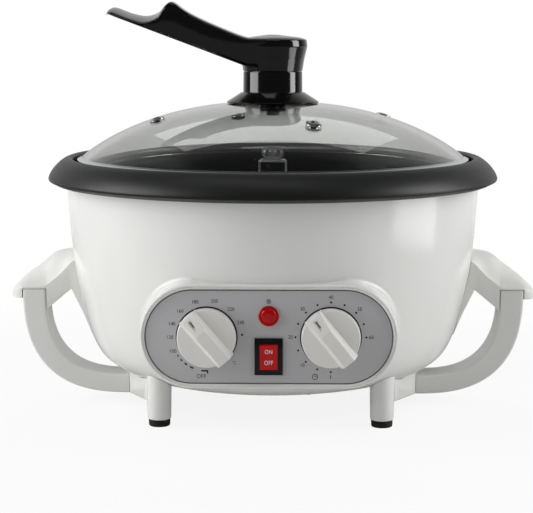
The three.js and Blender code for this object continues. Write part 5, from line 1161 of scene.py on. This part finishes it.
# %% Bracket, plate and screws
BRACKET_HALF_X, BRACKET_HALF_Y, STRIP, BRACKET_FOOT, BRACKET_CROWN = 10.5, 6, 1.6, 154.2, 179.5
inner_x, under_crown = BRACKET_HALF_X - STRIP, BRACKET_CROWN - STRIP
strap = filleted([
    (-BRACKET_HALF_X, BRACKET_FOOT, 0), (-inner_x, BRACKET_FOOT, 0), (-inner_x, under_crown, 1.2),
    (inner_x, under_crown, 1.2), (inner_x, BRACKET_FOOT, 0), (BRACKET_HALF_X, BRACKET_FOOT, 0),
    (BRACKET_HALF_X, BRACKET_CROWN, 2.6), (-BRACKET_HALF_X, BRACKET_CROWN, 2.6)], 5)
bent = eased(plate("bent_bracket", strap, -BRACKET_HALF_Y, BRACKET_HALF_Y), 0.3, 2, 50)
FIN_WIDE, FIN_THICK = 12, 3
fin_slot = block("fin_slot", (FIN_WIDE + 2 * FIT, FIN_THICK + 2 * FIT, 8), (0, 0, BRACKET_CROWN))
combined(bent, fin_slot, "DIFFERENCE")
dressed(smooth(bent), "stirrer", "steel", satin_steel, "stirrer_bracket")
TAB_WIDE, TAB_TALL, TAB_BACK, TAB_SHEET, TAB_SCREW_X = 16.4, 9, -1.8, 1.5, 4
tab_z = BRACKET_CROWN + FIT + TAB_TALL / 2
tab_ring = [(corner.x, corner.y + tab_z) for corner, out in stadium(TAB_WIDE, TAB_TALL, 48)]
tab = eased(plate("oval_plate", tab_ring, TAB_BACK - TAB_SHEET, TAB_BACK), 0.3, 2, 50)
dressed(smooth(tab), "stirrer", "steel", satin_steel, "stirrer_tab")
for side, name in SIDES:
    place = face_front(side * TAB_SCREW_X, tab_z, TAB_BACK - TAB_SHEET - FIT, 0)
    screw = placed(pan_head(f"plate_screw_{name}", 2.7, 1.6),
                   place @ Matrix.Rotation(math.pi, 4, "X"))
    dressed(smooth(screw), "stirrer", "steel", bright_screw, f"tab_screw_{name}")

# %% Paddles
BLADE_ROOT, BLADE_REACH, BLADE_FLOOR, BLADE_TALL = 10.8, 105.2, 112.2, 59
EAR_WIDE, EAR_TALL, RIVET_PITCH, RIVET_X = 10, 17, 8, 7.4
# (percent of the reach, percent of the height, fillet), from the top of the ear round the blade
BLADE_PERCENT = [(0, 100, 0), (3, 100, 1), (18, 36, 8), (97, 30, 3), (100, 18, 2), (87, 0, 6),
                 (10, 0, 3), (3, 28, 3), (0, 70, 1)]
RIVET_OUTLINE = filleted([(0, 0, 0), (2, 0, 0.9), (3, 1.4, 0.5), (3, 2, 0.1), (1.8, 2, 0),
                          (1.8, 5.4, 0), (0, 5.4, 0)], 4)
ear_z = BLADE_FLOOR + BLADE_TALL - EAR_TALL / 2
for side, name in ((1, "a"), (-1, "b")):
    outline = [(side * (BLADE_ROOT + BLADE_REACH * x / 100), BLADE_FLOOR + BLADE_TALL * z / 100)
               for x, z in filleted(BLADE_PERCENT, 4)]
    paddle = eased(plate("paddle", outline, -1, 1), 0.4, 2, 50)
    ear = eased(block("ear", (2, EAR_WIDE, EAR_TALL), (side * (BLADE_ROOT + 1), 0, ear_z)), 0.8, 3)
    rivets = []
    for half_pitch in (-RIVET_PITCH / 2, RIVET_PITCH / 2):
        spot = moved(side * RIVET_X, 0, ear_z + half_pitch)
        rivets.append(placed(turned("rivet", RIVET_OUTLINE, 28),
                             spot @ Matrix.Rotation(side * math.pi / 2, 4, "Y")))
    blade = one_piece(f"paddle_{name}", paddle, ear, *rivets)
    dressed(smooth(blade), "stirrer", "steel", brushed_steel, f"stirrer_blade_{name}")

# %% Sleeve with its fin, and the shaft
SLEEVE_BORE, SLEEVE_RADIUS, SLEEVE_LOW, SLEEVE_TOP, BORE_TOP = 3.8, 7, 153.7, 177.6, 174
sleeve = turned("sleeve", [
    (0, BORE_TOP), (SLEEVE_BORE, BORE_TOP), (SLEEVE_BORE, SLEEVE_LOW + 0.2),
    (SLEEVE_BORE + 0.2, SLEEVE_LOW), (SLEEVE_RADIUS - 0.4, SLEEVE_LOW),
    (SLEEVE_RADIUS, SLEEVE_LOW + 0.4), (SLEEVE_RADIUS, SLEEVE_TOP - 0.4),
    (SLEEVE_RADIUS - 0.4, SLEEVE_TOP), (0, SLEEVE_TOP)], 48)
fin = eased(block("fin", (FIN_WIDE, FIN_THICK, 11.8), (0, 0, SLEEVE_TOP + 5.3)), 0.4)
hub_piece = one_piece("sleeve_with_fin", sleeve, fin)
dressed(smooth(hub_piece), "stirrer", "black_matte", matt_black, "stirrer_hub")
SHAFT_RADIUS = 3.5
shaft_low, shaft_high = (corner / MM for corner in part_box("drive_shaft"))
shaft = turned("ground_shaft", filleted([
    (0, shaft_low.z, 0), (SHAFT_RADIUS, shaft_low.z, 0.4), (SHAFT_RADIUS, shaft_high.z, 0.6),
    (0, shaft_high.z, 0)], 4), 32)
dressed(smooth(shaft), "stirrer", "steel", steel, "drive_shaft")

# %% [markdown]
# ## Base and rear
# A galvanised cover with vent slots closes the floor. In the rear wall sits the open gland where a
# mains cord would enter. The slots are cut with one stadium-shaped tool, row by row, as a press
# punches them.

# %% Base cover and its screws
COVER_RADIUS, COVER_LOW, COVER_HIGH, SLOT_PITCH, SLOT_LONG, SLOT_WIDE = 80, 21.5, 23.7, 9, 60, 3
COVER_SCREW_RING, COVER_SCREW_START = 77, 20
cover = turned("vented_cover", filleted([
    (0, COVER_LOW, 0), (COVER_RADIUS, COVER_LOW, 0.8), (COVER_RADIUS, COVER_HIGH, 0.3),
    (0, COVER_HIGH, 0)], 4), 96)
for k in range(-4, 5):
    slot_ring = [(corner.x, corner.y + k * SLOT_PITCH)
                 for corner, out in stadium(SLOT_LONG, SLOT_WIDE, 24)]
    combined(cover, plate("vent_slot", slot_ring, COVER_LOW - 4, COVER_HIGH + 4, "Z"), "DIFFERENCE")
dressed(smooth(cover), "base", "dark_steel", galvanised, "base_cover")
for k in range(4):
    turn = math.radians(COVER_SCREW_START + 90 * k)
    place = moved(COVER_SCREW_RING * math.cos(turn), COVER_SCREW_RING * math.sin(turn),
                  COVER_LOW - FIT)
    screw = placed(pan_head(f"cover_screw_{k + 1}", 2.8, 1.4), place)
    dressed(smooth(screw), "base", "steel", steel, f"base_screw_{k + 1}")

# %% Cord gland
GLAND_BORE, GLAND_COLLAR, GLAND_FLANGE, GLAND_THROAT, GLAND_Z = 3.8, 7.2, 9.5, 6.4, 65
gland_low, gland_high = (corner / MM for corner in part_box("cord_gland"))
outer_end, inner_end = -gland_high.y, -gland_low.y
gland = turned("gland", filleted([
    (GLAND_BORE, outer_end, 0.5), (GLAND_COLLAR, outer_end, 0.8), (GLAND_FLANGE, outer_end + 2, 1),
    (GLAND_FLANGE, outer_end + 6.6, 0.3), (GLAND_THROAT, outer_end + 6.6, 0),
    (GLAND_THROAT, inner_end, 0.5), (GLAND_BORE, inner_end, 0.3)], 5), 56)
placed(gland, moved(0, 0, GLAND_Z) @ Matrix.Rotation(math.pi / 2, 4, "X"))
dressed(smooth(gland), "base", "rubber", rubber, "cord_gland")

# %% [markdown]
# ## What stays CAD
# The works inside the housing and the screws out of sight keep their CAD shapes. They are seen
# through the vent slots at most, so they get a finish and no new form.

# %% Hidden works
INSIDE = {"heating_element": galvanised, "heat_shield": steel, "motor_plate": galvanised,
          "gear_motor": galvanised, "shaft_bushing": brass, "thermal_cutout": matt_black,
          "terminal_block": ceramic, "temperature_shaft": steel, "timer_shaft": steel,
          "thermostat_body": galvanised, "timer_body": galvanised, "lid_knob_screw": steel}
for name, material in INSIDE.items():
    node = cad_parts[name]
    node.data.materials.clear()
    node.data.materials.append(material)
print("CAD nodes still shown:", sorted(n for n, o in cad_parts.items() if not o.hide_render))

# %% [markdown]
# ## Floor, light and camera
# A pale floor fades to white away from the roaster, and the world is white where the camera, a
# mirror or the glass looks at it. Two large softboxes light the sides and a third hangs above and
# behind, so the front of the bowl stays a tone darker than its flanks. A small low window and a
# narrow strip overhead show in reflections alone.

# %% Floor and backdrop
WHITE = (1, 1, 1, 1)
FLOOR_RADIUS = 6  # in metres
floor = start("circle", "studio_floor", vertices=96, radius=FLOOR_RADIUS, fill_type="NGON")
paper = bpy.data.materials.new("pale_floor_paper")
paper.use_nodes = True
paper_shader = paper.node_tree.nodes["Principled BSDF"]
for key, value in {"Base Color": linear("#e6e6e5"), "Roughness": 0.7,
                   "Specular IOR Level": 0.1}.items():
    paper_shader.inputs[key].default_value = value
paper_light = add(paper, "ShaderNodeEmission", {"Color": WHITE, "Strength": 1.0})


def math_node(material, operation, first, second):
    """A Math node between two sockets, or a socket and a number."""
    made = add(material, "ShaderNodeMath", operation=operation)
    for index, value in enumerate((first, second)):
        if isinstance(value, (int, float)):
            made.inputs[index].default_value = value
        else:
            material.node_tree.links.new(value, made.inputs[index])
    return made.outputs[0]


def looked_at(material, kind, mirror_test):
    """1 for a ray of a kind that has met no dull surface, and has or has not met a mirror.

    What such a ray sees adds no light to the roaster.
    """
    rays = add(material, "ShaderNodeLightPath")
    clean = math_node(material, "LESS_THAN", rays.outputs["Diffuse Depth"], 0.5)
    wanted = math_node(material, mirror_test, rays.outputs["Glossy Depth"], 0.5)
    seen = math_node(material, "MULTIPLY", rays.outputs[kind], clean)
    return math_node(material, "MULTIPLY", seen, wanted)


def seen_straight(material):
    """Share of the rays that come from the camera, by air or through glass alone."""
    return math_node(material, "MAXIMUM", looked_at(material, "Is Camera Ray", "LESS_THAN"),
                     looked_at(material, "Is Transmission Ray", "LESS_THAN"))


def seen_mirrored(material):
    """Share of the rays that come off a mirror, also where glass lies in between."""
    return math_node(material, "MAXIMUM", looked_at(material, "Is Glossy Ray", "GREATER_THAN"),
                     looked_at(material, "Is Transmission Ray", "GREATER_THAN"))


# near the roaster the floor keeps its shadow, and from NEAR to FAR (in metres) it turns white
SHADOW_KEEP, NEAR, FAR = 0.88, 0.26, 0.6
# a mirror sees the floor dim in front of the roaster, and light behind it
FLOOR_IN_FRONT, FLOOR_BEHIND = 0.2, 0.8
paper_place = add(paper, "ShaderNodeTexCoord").outputs["Object"]
paper_axes = add(paper, "ShaderNodeSeparateXYZ", {}, {0: paper_place})
paper_depth = add(paper, "ShaderNodeMapRange", {"From Min": 0.2, "From Max": 1.2,
                                                "To Min": FLOOR_IN_FRONT, "To Max": FLOOR_BEHIND},
                  {"Value": paper_axes.outputs["Y"]}, interpolation_type="SMOOTHSTEP")
paper_glow = add(paper, "ShaderNodeEmission", {"Color": WHITE},
                 {"Strength": paper_depth.outputs[0]})
paper_distance = add(paper, "ShaderNodeVectorMath", {}, {0: paper_place}, operation="LENGTH")
paper_white = add(paper, "ShaderNodeMapRange", {"From Min": NEAR, "From Max": FAR,
                                                "To Min": SHADOW_KEEP, "To Max": 1.0},
                  {"Value": paper_distance.outputs["Value"]}, interpolation_type="SMOOTHSTEP")
paper_here = add(paper, "ShaderNodeMixShader", {}, {
    0: seen_mirrored(paper), 1: paper_shader.outputs[0], 2: paper_glow.outputs[0]})
paper_share = math_node(paper, "MULTIPLY", seen_straight(paper), paper_white.outputs[0])
paper_mix = add(paper, "ShaderNodeMixShader", {}, {0: paper_share, 1: paper_here.outputs[0],
                                                   2: paper_light.outputs[0]})
paper.node_tree.links.new(paper_mix.outputs[0],
                          paper.node_tree.nodes["Material Output"].inputs["Surface"])
floor.data.materials.append(paper)
print("floor keeps its shadow within m:", NEAR)

# %% World
world = bpy.data.worlds.new("studio")
bpy.context.scene.world = world
world.use_nodes = True
AMBIENT, FRONT_OF_STUDIO, BACKDROP = 0.33, 0.05, 0.7
# what a mirror sees: the white backdrop behind the roaster, and the dim studio in front of it
world_way = add(world, "ShaderNodeTexCoord").outputs["Generated"]
world_axes = add(world, "ShaderNodeSeparateXYZ", {}, {0: world_way})
mirrored = add(world, "ShaderNodeMapRange", {"From Min": 0.3, "From Max": 0.95,
                                             "To Min": FRONT_OF_STUDIO, "To Max": BACKDROP},
               {"Value": world_axes.outputs["Y"]}, interpolation_type="SMOOTHSTEP")
level_here = add(world, "ShaderNodeMix", {2: AMBIENT},
                 {0: seen_mirrored(world), 3: mirrored.outputs[0]}, data_type="FLOAT")
world_fill = world.node_tree.nodes["Background"]
world_fill.inputs["Color"].default_value = WHITE
world.node_tree.links.new(level_here.outputs[0], world_fill.inputs["Strength"])
world_white = add(world, "ShaderNodeBackground", {"Color": WHITE, "Strength": 1.0})
world_mix = add(world, "ShaderNodeMixShader", {}, {
    0: seen_straight(world), 1: world_fill.outputs[0], 2: world_white.outputs[0]})
world_out = world.node_tree.nodes["World Output"]
world.node_tree.links.new(world_mix.outputs[0], world_out.inputs["Surface"])
print("ambient level:", AMBIENT)


# %% Softboxes
def softbox(name, place, aim, wide, tall, watts):
    """A rectangular lamp that looks at a point. Places and sizes are in metres."""
    light = bpy.data.lights.new(name, "AREA")
    light.shape, light.size, light.size_y, light.energy = "RECTANGLE", wide, tall, watts
    holder = bpy.data.objects.new(name, light)
    bpy.context.collection.objects.link(holder)
    holder.location = place
    holder.rotation_euler = (Vector(aim) - Vector(place)).to_track_quat("-Z", "Y").to_euler()
    return holder


MIDDLE = (0, 0, 0.14)
softbox("left_softbox", (-1.45, -0.3, 0.65), MIDDLE, 1.1, 1.2, 19.5)
softbox("right_softbox", (1.5, -0.12, 0.7), MIDDLE, 0.7, 1.1, 15)
# a small window low on the right shows only as a pale patch on the bowl and a line on the knob
window = softbox("low_window", (0.5, -0.14, 0.085), (0.1, -0.1, 0.17), 0.26, 0.11, 0.26)
# a narrow strip overhead draws a line of light along the lever's and the ring's upper edges
strip = softbox("top_strip", (-0.1, -0.25, 1.3), (0, -0.05, 0.2), 1.0, 0.16, 1.2)
for glint in (window, strip):
    glint.visible_diffuse = glint.visible_camera = False
# the rear light models the tops only, so it stays out of the glass
softbox("rear_softbox", (0, 1.0, 1.25), MIDDLE, 1.2, 0.7, 5).visible_glossy = False
print("lights:", [light.name for light in bpy.data.lights])

# %% [markdown]
# The camera stands 1.2 m away, a degree to the right of the axis and about 28 cm above the floor,
# with a portrait lens. It looks down at the middle of the bowl.

# %% Camera
CAMERA_DISTANCE, CAMERA_SIDE, CAMERA_HEIGHT = 1.2, math.radians(1), 0.2777
CAMERA_DOWN, CAMERA_YAW = math.radians(8.04), math.radians(1.222)
LENS, SENSOR = 109.6, 36
camera = bpy.data.objects.new("camera", bpy.data.cameras.new("camera"))
bpy.context.collection.objects.link(camera)
camera.data.lens, camera.data.sensor_width = LENS, SENSOR
camera.location = (CAMERA_DISTANCE * math.sin(CAMERA_SIDE),
                   -CAMERA_DISTANCE * math.cos(CAMERA_SIDE), CAMERA_HEIGHT)
camera.rotation_euler = (math.pi / 2 - CAMERA_DOWN, 0, CAMERA_YAW)
bpy.context.scene.camera = camera
bpy.context.scene.view_settings.view_transform = "Standard"
print("camera at:", [round(value, 3) for value in camera.location])
